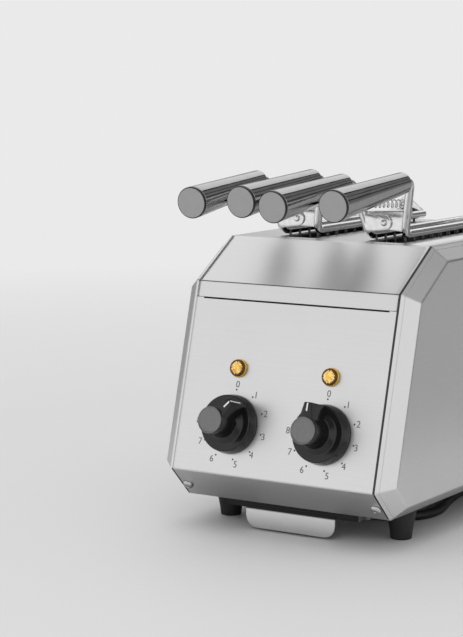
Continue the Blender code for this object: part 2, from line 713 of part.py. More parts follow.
def make_controls(front, front_chamfer):
    wall = SHEET_GAUGE + FIT_GAP
    for side, sign in (("left", -1), ("right", 1)):
        spot = sign * DIAL_SPACING / 2
        turn = -radians(LEFT_KNOB_TURN) if side == "left" else 0
        dial = add_empty(f"dial_{side}", front, (spot, DIAL_HEIGHT, 0), (0, 0, turn))
        knob = add_object(f"knob_{side}", knob_mesh(f"knob_{side}"), dial, "knob_black", True)
        join(knob, add_object(f"pointer_{side}", pointer_mesh(f"pointer_{side}"), dial))
        spindle = ((SPINDLE_RADIUS, -wall - SPINDLE_IN_TIMER), (SPINDLE_RADIUS, SPINDLE_IN_KNOB))
        add_object(f"spindle_{side}", turned_mesh(f"spindle_{side}", spindle, ROUND_SIDES // 2), dial,
                   "screw_steel", True)
        low = (spot - TIMER_WIDTH / 2, DIAL_HEIGHT - TIMER_HEIGHT / 2, -wall - TIMER_DEPTH)
        high = (spot + TIMER_WIDTH / 2, DIAL_HEIGHT + TIMER_HEIGHT / 2, -wall)
        timer = add_object(f"timer_{side}", box_mesh(f"timer_{side}", low, high), front, "timer_case")
        cut(timer, round_cutter(f"timer_bore_{side}", front, SPINDLE_RADIUS + FIT_GAP,
                                -wall - SPINDLE_IN_TIMER - FIT_GAP, OVERRUN, (spot, DIAL_HEIGHT, 0)))
        lens = (
            (LENS_STEM_RADIUS, -LENS_STEM_LENGTH),
            (LENS_STEM_RADIUS, FIT_GAP),
            (LENS_RADIUS, FIT_GAP),
            (LENS_RADIUS, LENS_SHOULDER),
            (LENS_FACE_RADIUS, LENS_HEIGHT),
        )
        add_object(f"lamp_lens_{side}", turned_mesh(f"lamp_lens_{side}", lens), front, "amber_lens", True,
                   (spot, LAMP_HEIGHT, 0))
        socket = LENS_STEM_LENGTH + FIT_GAP
        holder = (
            (LENS_STEM_RADIUS + FIT_GAP, -socket),
            (LENS_STEM_RADIUS + FIT_GAP, -wall),
            (LAMP_BODY_RADIUS, -wall),
            (LAMP_BODY_RADIUS, -wall - LAMP_BODY_LENGTH),
        )
        add_object(f"lamp_body_{side}", turned_mesh(f"lamp_body_{side}", holder, ROUND_SIDES // 2), front,
                   "lamp_case", True, (spot, LAMP_HEIGHT, 0))
        screw = (
            (SOCKET_RADIUS, SCREW_HEAD_HEIGHT - SOCKET_DEPTH),
            (SOCKET_RADIUS, SCREW_HEAD_HEIGHT),
            (SCREW_HEAD_RADIUS * 0.55, SCREW_HEAD_HEIGHT * 0.94),
            (SCREW_HEAD_RADIUS * 0.86, SCREW_HEAD_HEIGHT * 0.62),
            (SCREW_HEAD_RADIUS, FIT_GAP),
            (SCREW_SHANK_RADIUS, FIT_GAP),
            (SCREW_SHANK_RADIUS, -SCREW_SHANK_LENGTH),
        )
        across = -sign * (SHEET_WIDTH / 2 - SCREW_INSET)
        add_object(f"chamfer_screw_{side}", turned_mesh(f"chamfer_screw_{side}", screw, ROUND_SIDES // 2),
                   front_chamfer, "screw_steel", True, (across, SCREW_ALONG, 0))


def leg_share(height):
    """Share of the way up a front leg, from its rail to its handle, at a height over the pivot."""
    return (height + RAIL_DROP) / (HANDLE_RISE + RAIL_DROP)


def leg_across(height):
    """Distance of a leg's centre from the tong's middle plane at a height over the pivot."""
    return RAIL_SPACING / 2 + (HANDLE_SPACING - RAIL_SPACING) / 2 * leg_share(height)


def leg_back(height):
    """Distance of a front leg's centre behind the hinge plane at a height over the pivot."""
    return LEG_FOOT_BACK - (LEG_FOOT_BACK + LEG_TOP_FORWARD) * leg_share(height)


def handle_heading(toe):
    """Direction from a handle's rear end to its front end, drooping and turned in plan."""
    return Vector((sin(toe) * cos(DROOP), -cos(toe) * cos(DROOP), -sin(DROOP)))


def ear_arc(sign, start, end):
    """Points on a hinge plate's round ear, whose angles run away from the jaw's own side."""
    turns = [start + (end - start) * step / (2 * ARC_STEPS) for step in range(2 * ARC_STEPS + 1)]
    return [(sign * PLATE_EAR_RADIUS * cos(turn), PLATE_EAR_RADIUS * sin(turn)) for turn in turns]


def front_plate_outline(sign):
    """From a jaw's leg past the pivot to a round ear."""
    root = PLATE_ROOT_HEIGHT / 2
    return [(sign * leg_across(-root), -root), *ear_arc(sign, 3 * pi / 2, pi / 2), (sign * leg_across(root), root)]


def rear_plate_outline(sign):
    """From a round ear at the pivot slanting down to the end of a jaw's rail, with tangent sides."""
    rail = RAIL_SPACING / 2
    fall = atan2(RAIL_DROP, rail)
    spread = acos((PLATE_EAR_RADIUS - PLATE_RAIL_RADIUS) / hypot(RAIL_DROP, rail))
    upper, lower = spread - fall, 2 * pi - spread - fall

    def rail_point(turn):
        return sign * (rail + PLATE_RAIL_RADIUS * cos(turn)), PLATE_RAIL_RADIUS * sin(turn) - RAIL_DROP

    return [rail_point(lower), *ear_arc(sign, lower, upper), rail_point(upper)]


def plate_mesh(name, outline, front):
    return ring_mesh(name, [[(x, y, z) for x, z in outline] for y in (front, front + PLATE_GAUGE)])


def jaw_rod_path(sign, run, toe):
    """Centre line of a jaw's rod: tang, front leg and rail."""
    top = Vector((sign * HANDLE_SPACING / 2, -LEG_TOP_FORWARD, HANDLE_RISE))
    corners = (
        top + handle_heading(toe) * (HANDLE_START + TANG_LENGTH),
        top,
        Vector((sign * RAIL_SPACING / 2, LEG_FOOT_BACK, -RAIL_DROP)),
        Vector((sign * RAIL_SPACING / 2, run + ROD_RADIUS, -RAIL_DROP)),
    )
    return rounded_path(corners, ROD_BEND)


def make_jaw(tong, prefix, sign, run, toe):
    rod = swept_mesh(prefix + "_jaw", jaw_rod_path(sign, run, toe), ROD_RADIUS, ROD_SIDES)
    jaw = add_object(prefix + "_jaw", rod, tong, "chrome_rod", True)

    def weld(name, mesh):
        join(jaw, add_object(f"{prefix}_{name}", mesh, tong))

    wire_x = sign * (RAIL_SPACING / 2 - CAGE_WIRE_INSET)
    foot_x = sign * (JAW_GAP / 2 + FOOT_ROD_RADIUS)
    foot_z = -RAIL_DROP - CAGE_DEPTH
    first, last = CAGE_END, run - CAGE_END
    weld("foot_rod", swept_mesh("foot_rod", ((foot_x, first - FOOT_ROD_RADIUS * 2, foot_z),
                                             (foot_x, last + FOOT_ROD_RADIUS * 2, foot_z)),
                                FOOT_ROD_RADIUS, ROD_SIDES))
    brace_x = wire_x + (foot_x - wire_x) * BRACE_DROP / CAGE_DEPTH
    weld("brace", swept_mesh("brace", ((brace_x, first - CAGE_WIRE_RADIUS * 2, -RAIL_DROP - BRACE_DROP),
                                       (brace_x, last + CAGE_WIRE_RADIUS * 2, -RAIL_DROP - BRACE_DROP)),
                             CAGE_WIRE_RADIUS, WIRE_SIDES))
    gaps = max(1, round((last - first) / CAGE_WIRE_PITCH))
    for index in range(gaps + 1):
        depth = first + (last - first) * index / gaps
        weld(f"wire_{index}", swept_mesh("wire", ((wire_x, depth, -RAIL_DROP), (foot_x, depth, foot_z)),
                                         CAGE_WIRE_RADIUS, WIRE_SIDES))
    front = -PLATE_FRONT + (PLATE_GAUGE + PLATE_GAP if sign > 0 else 0)
    weld("front_plate", plate_mesh("front_plate", front_plate_outline(sign), front))
    weld("rear_plate", plate_mesh("rear_plate", rear_plate_outline(sign), run + front))
    peg = Vector((sign * leg_across(SPRING_RISE), leg_back(SPRING_RISE), SPRING_RISE))
    weld("peg", swept_mesh("peg", (peg, peg - Vector((sign * PEG_LENGTH, 0, 0))), PEG_RADIUS, ROD_SIDES))
    if sign < 0:
        start = Vector((-leg_across(STOP_BAR_RISE), leg_back(STOP_BAR_RISE), STOP_BAR_RISE))
        back = start.y + ROD_RADIUS + STOP_BAR_RADIUS + FIT_GAP * 2
        corner = Vector((start.x, back, STOP_BAR_RISE))
        end = Vector((STOP_BAR_REACH, back, STOP_BAR_RISE))
        path = rounded_path((start, corner, end), STOP_BAR_BEND)
        weld("stop_bar", swept_mesh("stop_bar", path, STOP_BAR_RADIUS, ROD_SIDES))
    for end, offset in (("front", 0), ("rear", run)):
        cut(jaw, round_cutter(f"{prefix}_{end}_eye", tong, RIVET_RADIUS + FIT_GAP, -OVERRUN, OVERRUN,
                              (0, offset, 0), (pi / 2, 0, 0), ROUND_SIDES // 2))


def make_handle(tong, prefix, sign, toe):
    """Handle and end cap on a jaw's tang: local Z runs from the rear end to the front end."""
    top = Vector((sign * HANDLE_SPACING / 2, -LEG_TOP_FORWARD, HANDLE_RISE))
    grip = add_empty(prefix + "_grip", tong, top + handle_heading(toe) * HANDLE_START, (pi / 2 + DROOP, 0, toe))
    bore = ROD_RADIUS + FIT_GAP
    cap_radius = HANDLE_FRONT_RADIUS - CAP_RIM
    length = HANDLE_LENGTH
    profile = (
        (bore, TANG_LENGTH + FIT_GAP),
        (bore, 0),
        (HANDLE_REAR_RADIUS - HANDLE_ROUND, 0),
        (HANDLE_REAR_RADIUS - HANDLE_ROUND * (1 - sin(pi / 4)), HANDLE_ROUND * (1 - cos(pi / 4))),
        (HANDLE_REAR_RADIUS, HANDLE_ROUND),
        (HANDLE_FRONT_RADIUS, length - CAP_FLANGE - FIT_GAP),
        (cap_radius + FIT_GAP, length - CAP_FLANGE - FIT_GAP),
        (cap_radius + FIT_GAP, length - CAP_THICKNESS),
    )
    add_object(prefix + "_handle", turned_mesh(prefix + "_handle", profile), grip, "handle_chrome", True)
    cap = (
        (cap_radius, length - CAP_THICKNESS + FIT_GAP),
        (cap_radius, length - CAP_FLANGE),
        (HANDLE_FRONT_RADIUS, length - CAP_FLANGE),
        (HANDLE_FRONT_RADIUS, length),
        (HANDLE_FRONT_RADIUS - CAP_PROUD, length + CAP_PROUD),
    )
    add_object(prefix + "_cap", turned_mesh(prefix + "_cap", cap), grip, "handle_cap", True)


def rivet_mesh(name):
    head = -PLATE_FRONT - FIT_GAP
    tail = -PLATE_FRONT + 2 * PLATE_GAUGE + PLATE_GAP + FIT_GAP
    profile = (
        (RIVET_HEAD_RADIUS / 2, -tail - RIVET_HEAD_HEIGHT),
        (RIVET_HEAD_RADIUS, -tail - RIVET_HEAD_HEIGHT / 3),
        (RIVET_HEAD_RADIUS, -tail),
        (RIVET_RADIUS, -tail),
        (RIVET_RADIUS, -head),
        (RIVET_HEAD_RADIUS, -head),
        (RIVET_HEAD_RADIUS, -head + RIVET_HEAD_HEIGHT / 3),
        (RIVET_HEAD_RADIUS / 2, -head + RIVET_HEAD_HEIGHT),
    )
    return turned_mesh(name, profile, ROUND_SIDES // 2)


def least_self_gap(points, diameter, skip):
    """Least distance between the skins of parts of one tube that lie over skip points apart."""
    least = min((points[first] - points[second]).length
                for first in range(len(points)) for second in range(first + skip, len(points)))
    return least - diameter


def tube_object(name, points, radius, resolution, parent, finish):
    curve = bpy.data.curves.new(name, "CURVE")
    curve.dimensions = "3D"
    curve.bevel_depth = radius
    curve.bevel_resolution = resolution
    curve.use_fill_caps = True
    spline = curve.splines.new("POLY")
    spline.points.add(len(points) - 1)
    for knot, point in zip(spline.points, points):
        knot.co = (*point, 1)
    thing = bpy.data.objects.new(name, curve)
    bpy.context.scene.collection.objects.link(thing)
    thing.parent = parent
    curve.materials.append(get_material(finish))
    return thing


def make_spring(tong, name):
    """Compression spring along X between the legs, its wire ends square to them."""
    reach = leg_across(SPRING_RISE) - ROD_RADIUS * 1.1 - FIT_GAP
    straight = 2 * SPRING_WIRE_RADIUS
    coiled = reach - straight
    per_curl = 8
    total = SPRING_CURLS * per_curl
    depth = leg_back(SPRING_RISE)
    points = [Vector((-reach, depth, SPRING_RISE + SPRING_RADIUS))]
    for index in range(total + 1):
        turn = 2 * pi * index / per_curl
        x = -coiled + 2 * coiled * index / total
        points.append(Vector((x, depth + SPRING_RADIUS * sin(turn), SPRING_RISE + SPRING_RADIUS * cos(turn))))
    points.append(Vector((reach, depth, SPRING_RISE + SPRING_RADIUS)))
    print(name, "least gap to itself", round(least_self_gap(points, 2 * SPRING_WIRE_RADIUS, per_curl - 2), 5))
    return tube_object(name, points, SPRING_WIRE_RADIUS, 1, tong, "chrome_rod")


def make_tong(body, side, sign):
    run = BODY_DEPTH - 2 * HINGE_PLANE
    tong = add_empty(f"tong_{side}", body, tong_pivot(sign), (0, -LEAN, 0))
    for part, jaw_sign in (("moving", -1), ("fixed", 1)):
        prefix = f"tong_{side}_{part}"
        toe = radians(BENT_HANDLE_TOE) if side == "left" and part == "moving" else 0
        make_jaw(tong, prefix, jaw_sign, run, toe)
        make_handle(tong, prefix, jaw_sign, toe)
    for end, offset in (("front", 0), ("rear", run)):
        name = f"tong_{side}_{end}_rivet"
        add_object(name, rivet_mesh(name), tong, "chrome_rod", True, (0, offset, 0), (pi / 2, 0, 0))
    make_spring(tong, f"tong_{side}_spring")


def smooth_route(corners, spacing):
    """Even steps along a Catmull-Rom curve through the route's own points."""
    corners = [Vector(corner) for corner in corners]
    ends = [2 * corners[0] - corners[1]] + corners + [2 * corners[-1] - corners[-2]]
    fine = []
    for a, b, c, d in zip(ends, ends[1:], ends[2:], ends[3:]):
        for step in range(16):
            t = step / 16
            fine.append(0.5 * (2 * b + (c - a) * t + (2 * a - 5 * b + 4 * c - d) * t ** 2
                               + (3 * b - a - 3 * c + d) * t ** 3))
    fine.append(corners[-1])
    length = sum((second - first).length for first, second in zip(fine, fine[1:]))
    count = ceil(length / spacing)
    points, walked, index = [fine[0]], 0.0, 0
    for step in range(1, count):
        target = length * step / count
        while walked + (fine[index + 1] - fine[index]).length < target:
            walked += (fine[index + 1] - fine[index]).length
            index += 1
        share = (target - walked) / (fine[index + 1] - fine[index]).length
        points.append(fine[index].lerp(fine[index + 1], share))
    points.append(fine[-1])
    return points, length


def gland_tip():
    """Centre and heading of the gland's open end."""
    out = Vector((0, sin(CHAMFER_ANGLE), -cos(CHAMFER_ANGLE)))
    down = Vector((0, -cos(CHAMFER_ANGLE), -sin(CHAMFER_ANGLE)))
    root = mirrored(FRONT_LOW) + down * chamfer_middle() + Vector((GLAND_SIDE, 0, 0))
    return root + out * (FIT_GAP + GLAND_FLANGE + GLAND_NOSE), out


def coil_path():
    """Two layers of loops: in on the table, up half a turn at the middle, and out again on top."""
    table = CORD_RADIUS + CORD_LIFT
    centre = Vector((*COIL_CENTRE, table))
    quarter = COIL_RING_POINTS // 4
    layer_points = COIL_TURNS * COIL_RING_POINTS
    total = 2 * layer_points + quarter
    climb = COIL_RING_POINTS / 2
    reverse = total / 2
    start = centre + Vector((-COIL_OUTER, -2 * CORD_RADIUS, 0))
    points = [start]
    for index in range(total + 1):
        turn = pi - 2 * pi * index / COIL_RING_POINTS
        inward = min(index, total - index)
        radius = COIL_OUTER - COIL_STEP * inward / COIL_RING_POINTS
        rise = min(max((index - reverse + climb / 2) / climb, 0), 1)
        rise = rise * rise * (3 - 2 * rise)
        points.append(centre + Vector((radius * cos(turn), radius * sin(turn), COIL_LAYER * rise)))
    end = points[-1]
    plug_height = PLUG_RADIUS + CORD_LIFT
    steps = max(2, ceil(PLUG_LEAD / (4 * CORD_RADIUS)))
    for step in range(1, steps + 1):
        share = step / steps
        ease = share * share * (3 - 2 * share)
        points.append(Vector((end.x + PLUG_LEAD * share, end.y, end.z + (plug_height - end.z) * ease)))
    points.append(Vector((end.x + PLUG_LEAD + 2 * CORD_RADIUS, end.y, plug_height)))
    return points


def make_cord(body, rear_chamfer):
    gland = (
        (GLAND_NECK_RADIUS, -GLAND_TAIL),
        (GLAND_NECK_RADIUS, FIT_GAP),
        (GLAND_FLANGE_RADIUS, FIT_GAP),
        (GLAND_FLANGE_RADIUS, FIT_GAP + GLAND_FLANGE),
        (GLAND_ROOT_RADIUS, FIT_GAP + GLAND_FLANGE),
        (GLAND_TIP_RADIUS, FIT_GAP + GLAND_FLANGE + GLAND_NOSE),
    )
    add_object("strain_relief", turned_mesh("strain_relief", gland, ROUND_SIDES // 2), rear_chamfer,
               "cord_rubber", True, (GLAND_SIDE, chamfer_middle(), 0))
    tip, out = gland_tip()
    table = CORD_RADIUS + CORD_LIFT
    mouth = tip + out * FIT_GAP
    start = mouth + out * 2 * CORD_RADIUS
    drop = start.z - table
    bend = drop / (1 - sin(CHAMFER_ANGLE)) if sin(CHAMFER_ANGLE) < 1 else drop
    foot = start + Vector((0, bend * cos(CHAMFER_ANGLE), 0))
    middle_turn = CHAMFER_ANGLE + (pi / 2 - CHAMFER_ANGLE) / 2
    middle = Vector((start.x, foot.y - bend * cos(middle_turn), table + bend * (1 - sin(middle_turn))))
    coil = coil_path()
    arrival = coil[0] - Vector((0, FIT_GAP, 0))
    corners = [start, middle, Vector((foot.x, foot.y, table))]
    corners += [Vector((*spot, table)) for spot in CORD_ROUTE if spot[1] > 0]
    corners.append(arrival - Vector((0, 2 * CORD_RADIUS, 0)))
    route, length = smooth_route(corners, CORD_SPACING)
    route = [mouth] + route + [arrival]
    length += 4 * CORD_RADIUS
    tube_object("mains_cord", route, CORD_RADIUS, 2, body, "cord_rubber")
    tube_object("cord_coil", coil, CORD_RADIUS, 1, body, "cord_rubber")
    wound = sum((second - first).length for first, second in zip(coil, coil[1:]))
    print("cord length", round(length + wound, 4), "in the coil", round(wound, 4))
    print("coil least gap to itself", round(least_self_gap(coil, 2 * CORD_RADIUS, COIL_RING_POINTS // 2), 5))
    make_plug(body, coil[-1] + Vector((FIT_GAP, 0, 0)))


def make_plug(body, spot):
    """Round two-pin plug lying on its side, its pins along X."""
    neck = PLUG_NECK
    shoulder = neck + PLUG_BODY
    face = shoulder + PLUG_FACE
    profile = (
        (PLUG_NECK_RADIUS * 0.9, 0),
        (PLUG_NECK_RADIUS, neck),
        (PLUG_WAIST_RADIUS, neck + PLUG_BODY * 0.2),
        (PLUG_WAIST_RADIUS * 1.05, neck + PLUG_BODY * 0.7),
        (PLUG_RADIUS, shoulder),
        (PLUG_RADIUS, face),
    )
    plug = add_object("mains_plug", turned_mesh("mains_plug", profile, PLUG_SIDES), body, "cord_rubber",
                      True, spot, (0, pi / 2, 0))
    for name, across in (("plug_pin_a", -PIN_SPACING / 2), ("plug_pin_b", PIN_SPACING / 2)):
        low = face - PLUG_FACE / 2
        mesh = turned_mesh(name, ((PIN_RADIUS, low), (PIN_RADIUS, face + PIN_LENGTH)), PLUG_SIDES // 2)
        shift = Matrix.Translation((0, across, 0))
        mesh.transform(shift)
        join(plug, add_object(name, mesh, body, location=spot, rotation=(0, pi / 2, 0)))


def main():
    clear_scene()
    body = add_empty("toaster", None, (0, -ORIGIN_SHIFT, 0))
    front = face_frame("front_face", body)
    rear = face_frame("rear_face", body, rear=True)
    front_chamfer = chamfer_frame("front_chamfer", body)
    rear_chamfer = chamfer_frame("rear_chamfer", body, rear=True)
    make_casing(body, front, rear, front_chamfer, rear_chamfer)
    make_side_pans(body)
    make_base(body)
    make_tray(body)
    make_core(body)
    make_controls(front, front_chamfer)
    make_tong(body, "left", -1)
    make_tong(body, "right", 1)
    make_cord(body, rear_chamfer)
    print("origin shift", round(ORIGIN_SHIFT, 6), "panel lean", round(PANEL_LEAN, 6))


main()
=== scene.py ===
import bmesh
import bpy
import json
import numpy as np
from math import acos, atan2, ceil, cos, hypot, pi, radians, sin
from mathutils import Matrix, Vector


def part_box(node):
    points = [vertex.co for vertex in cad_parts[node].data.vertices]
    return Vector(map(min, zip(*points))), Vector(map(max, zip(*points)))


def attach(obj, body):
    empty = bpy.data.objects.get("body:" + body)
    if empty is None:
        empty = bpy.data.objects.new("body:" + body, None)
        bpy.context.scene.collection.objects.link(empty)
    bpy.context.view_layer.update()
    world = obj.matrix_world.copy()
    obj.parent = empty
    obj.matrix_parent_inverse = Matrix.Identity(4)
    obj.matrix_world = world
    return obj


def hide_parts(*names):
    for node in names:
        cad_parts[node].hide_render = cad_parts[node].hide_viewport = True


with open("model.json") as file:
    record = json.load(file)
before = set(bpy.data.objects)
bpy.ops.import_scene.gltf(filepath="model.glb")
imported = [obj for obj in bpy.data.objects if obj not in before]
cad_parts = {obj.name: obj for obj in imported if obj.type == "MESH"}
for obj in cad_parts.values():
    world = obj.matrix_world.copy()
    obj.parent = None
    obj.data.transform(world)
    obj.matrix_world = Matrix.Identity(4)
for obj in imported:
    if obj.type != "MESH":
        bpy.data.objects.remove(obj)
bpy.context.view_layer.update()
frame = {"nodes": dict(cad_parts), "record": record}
nodes = frame["nodes"]
bodyOf = {node: body for body, group in frame["record"]["behaviour"]["bodies"].items() for node in group}

# Sizes of the folded casing, in metres. They are drawn in the fold frame: X to the right, Y backwards from
# the front's lower fold and Z up from the table
casing = {
    "width": 0.172, "depth": 0.380, "gauge": 0.001, "foldRadius": 0.0018, "foldHold": 0.0005, "gap": 0.0003,
    "bottomHeight": 0.0223, "lowFoldHeight": 0.0457, "highFoldHeight": 0.1829, "deckHeight": 0.2127,
    "bottomSetback": 0.0237, "highFoldSetback": 0.0371, "deckSetback": 0.0841, "foldSteps": 8,
}

# How each pair of tongs stands in its slot and how its rods bend, measured from the front rivet
tong = {
    "lean": 3.0, "pivotHeight": 0.0142, "pivotShift": 0.0005, "slotSpacing": 0.0752, "hingePlane": 0.1022,
    "rodRadius": 0.0032, "rodBend": 0.0070, "railSpacing": 0.0296, "railDrop": 0.0092,
    "footBack": 0.0034, "topForward": 0.0026, "handleSpacing": 0.0490, "handleRise": 0.0311,
    "tang": 0.055, "droop": 5.65, "toe": 3.5, "bendSteps": 10, "rodSides": 28,
}

panLow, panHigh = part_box("side_panel_left")
originShift = casing["depth"] / 2 - (panLow.y + panHigh.y) / 2      # from the lower fold back to the origin


def unit(vector):       # the vector at a length of one
    vector = np.asarray(vector, float)
    return vector / np.linalg.norm(vector)


def unitRows(rows):     # every row at a length of one
    return rows / np.linalg.norm(rows, axis=1)[:, None]


def shifted(place):     # a matrix that moves
    return Matrix.Translation(place)


def rotated(angle, axis):       # a matrix that turns
    return Matrix.Rotation(angle, 4, axis)


def placed(points, matrix):     # every point turned and shifted by the frame's matrix
    turn = np.array(matrix.to_3x3())
    return np.asarray(points, float) @ turn.T + np.array(matrix.translation)


# Frames that pieces are drawn in: the fold frame, the leaning front face, and the lower chamfers in front
# and behind
foldFrame = shifted((0, -originShift, 0))
panelLean = atan2(casing["highFoldSetback"], casing["highFoldHeight"] - casing["lowFoldHeight"])
chamferAngle = atan2(casing["lowFoldHeight"] - casing["bottomHeight"], casing["bottomSetback"])
chamferMiddle = hypot(casing["bottomSetback"], casing["lowFoldHeight"] - casing["bottomHeight"]) / 2
lowFold = Vector((0, 0, casing["lowFoldHeight"]))
panelFrame = foldFrame @ shifted(lowFold) @ rotated(pi / 2 - panelLean, "X")
chamferFrame = foldFrame @ shifted(lowFold) @ rotated(pi, "Z") @ rotated(pi + chamferAngle, "X")
rearChamferFrame = foldFrame @ shifted((0, casing["depth"], lowFold.z)) @ rotated(pi + chamferAngle, "X")


def tongFrame(sign):        # at a pair's front rivet, with Z along the lean of its slot
    spot = (sign * tong["slotSpacing"] / 2 - tong["pivotShift"], tong["hingePlane"],
            casing["deckHeight"] + tong["pivotHeight"])
    return foldFrame @ shifted(spot) @ rotated(-radians(tong["lean"]), "Y")


# The photograph's camera: its place in the fold frame, its turns in degrees and its lens in millimetres
view = {"place": (0.7627, -1.2438, 0.3592), "turn": 32.595, "dip": 7.618, "roll": -0.056,
        "lens": 116.38, "longSide": 36.0, "clip": (0.05, 60)}
cameraData = bpy.data.cameras.new("studioCamera")
cameraData.sensor_fit = "VERTICAL"
cameraData.sensor_height = view["longSide"]
cameraData.lens = view["lens"]
cameraData.clip_start, cameraData.clip_end = view["clip"]
camera = bpy.data.objects.new("studioCamera", cameraData)
bpy.context.scene.collection.objects.link(camera)
camera.matrix_world = (foldFrame @ shifted(view["place"]) @ rotated(radians(view["turn"]), "Z")
                       @ rotated(pi / 2 - radians(view["dip"]), "X") @ rotated(radians(view["roll"]), "Z"))
bpy.context.scene.camera = camera
bpy.context.scene.view_settings.view_transform = "Standard"
print("camera set")


class Tap:      # one socket of a node tree; sums on it add Math nodes, node() adds any other node
    def __init__(self, tree, socket=None):
        self.tree, self.socket = tree, socket

    # Settings are made first, a ramp's stops among them; then each input takes a link or a value
    def node(self, kind, settings=None, inputs=None, output=0):
        made = self.tree.nodes.new(kind)
        for name, value in (settings or {}).items():
            if name == "stops":
                band = made.color_ramp.elements
                band[0].position, band[-1].position = value[0][0], value[-1][0]
                for place, level in value[1:-1]:
                    band.new(place)
                for element, (place, level) in zip(band, value):
                    element.color = (level, level, level, 1)
            else:
                setattr(made, name, value)
        for name, value in (inputs or {}).items():
            if isinstance(value, Tap):
                self.tree.links.new(value.socket, made.inputs[name])
            else:
                made.inputs[name].default_value = value
        return Tap(self.tree, made.outputs[output])

    def sum(self, operation, first, second, clamp=False):
        settings = {"operation": operation, "use_clamp": clamp}
        return self.node("ShaderNodeMath", settings, {0: first, 1: second})

    def __add__(self, other):
        return self.sum("ADD", self, other)

    def __sub__(self, other):
        return self.sum("SUBTRACT", self, other)

    def __rsub__(self, other):
        return self.sum("SUBTRACT", other, self)

    def __mul__(self, other):
        return self.sum("MULTIPLY", self, other)

    __radd__, __rmul__ = __add__, __mul__

    def held(self):     # kept between 0 and 1
        return self.sum("ADD", self, 0.0, True)

    def part(self, low, high):      # 0 below low, 1 above high, even between
        return self.node("ShaderNodeMapRange", {"clamp": True}, {0: self, 1: low, 2: high})

    def noise(self, scale, detail, roughness, stretch=(1, 1, 1)):       # noise on stretched object space
        place = self.node("ShaderNodeTexCoord", output=3)
        spread = self.node("ShaderNodeMapping", None, {"Vector": place, "Scale": stretch})
        return self.node("ShaderNodeTexNoise", None, {"Vector": spread, "Scale": scale, "Detail": detail,
                                                     "Roughness": roughness})

    def blend(self, share, first, second):      # from the first colour to the second by share
        return self.node("ShaderNodeMix", {"data_type": "RGBA"}, {0: share, 6: first, 7: second}, 2)

    def coordinate(self, index):        # one number of a vector
        return self.node("ShaderNodeSeparateXYZ", None, {0: self}, index)

    def byAngle(self, up, along, stops):        # a level read off stops by the angle of two coordinates
        share = self.sum("ARCTAN2", up, along) * (0.5 / pi) + 0.5
        stops = [((degrees + 180) / 360, level) for degrees, level in stops]
        return self.node("ShaderNodeValToRGB", {"stops": stops}, {0: share})

    def bump(self, height, strength, distance):
        inputs = {"Height": height, "Strength": strength, "Distance": distance}
        return self.node("ShaderNodeBump", None, inputs)


def grey(level):        # a linear grey
    return (level, level, level, 1)


def tone(level):        # a grey as it is written in an eight-bit picture, made linear
    share = level / 255
    return grey(share / 12.92 if share <= 0.04045 else ((share + 0.055) / 1.055) ** 2.4)


def dimmed(colour, share):
    return tuple(value * share for value in colour[:3]) + (1,)


def newFinish(name, colour, roughness, metallic=0.0, **sockets):
    made = bpy.data.materials.new(name)
    made.use_nodes = True
    shader = made.node_tree.nodes["Principled BSDF"]
    shader.inputs["Base Color"].default_value = colour
    shader.inputs["Roughness"].default_value = roughness
    shader.inputs["Metallic"].default_value = metallic
    for socket, value in sockets.items():
        shader.inputs[socket.replace("_", " ")].default_value = value
    made.diffuse_color = colour
    return made, Tap(made.node_tree), shader


def feed(tap, shader, **sockets):       # links taps to the shader's sockets, with _ for a space in a name
    for socket, value in sockets.items():
        tap.tree.links.new(value.socket, shader.inputs[socket.replace("_", " ")])


# In every look a noise is its scale, detail and roughness, and a bump its strength and distance
steelLook = {"colour": grey(0.80), "roughness": 0.34, "streak": (1.0, 4.0, 0.6), "grain": (9, 900, 900),
             "cloud": (14.0, 3.0, 0.5), "cloudEdge": (0.35, 0.65), "dim": 0.95, "roughSpread": 0.10,
             "cloudRough": 0.05, "bump": (0.10, 0.0002)}


def brushedSteel(name, **changes):
    # Long thin streaks of noise change the roughness and lift the skin; slow noise clouds the colour
    look = {**steelLook, **changes}
    made, tap, shader = newFinish(name, look["colour"], look["roughness"], 1.0)
    streak = tap.noise(*look["streak"], look["grain"])
    cloud = tap.noise(*look["cloud"])
    clear = ((cloud + streak) * 0.5).part(*look["cloudEdge"])
    rough = look["roughness"] + (streak - 0.5) * look["roughSpread"] + (cloud - 0.5) * look["cloudRough"]
    feed(tap, shader, Base_Color=tap.blend(clear, dimmed(look["colour"], look["dim"]), look["colour"]),
         Roughness=rough, Normal=tap.bump(streak, *look["bump"]))
    return made


finishes = {
    "casingSteel": brushedSteel("casing_steel_across"),
    "sideSteel": brushedSteel("casing_steel_along", grain=(900, 9, 900)),
    "deckSteel": brushedSteel("deck_steel", roughness=0.36),
    "baseSteel": brushedSteel("base_steel", colour=(0.42, 0.42, 0.43, 1), roughness=0.42),
    "coreSteel": brushedSteel("core_steel", colour=(0.36, 0.35, 0.34, 1), roughness=0.45, dim=0.75,
                              cloud=(30.0, 3.0, 0.5)),
    "screwSteel": brushedSteel("screw_steel", colour=grey(0.62), roughness=0.20, grain=(200, 200, 200),
                               bump=(0.04, 0.0002)),
}

rodLook = {"colour": grey(0.82), "roughness": 0.10, "wave": (60.0, 2.0, 0.5), "grain": (1, 1, 1), "dim": 0.8,
           "dimEdge": (0.3, 0.8), "speck": (220.0, 3.0, 0.6), "roughEdge": (0.45, 0.75), "roughSpread": 0.10,
           "bump": (0.12, 0.0006)}


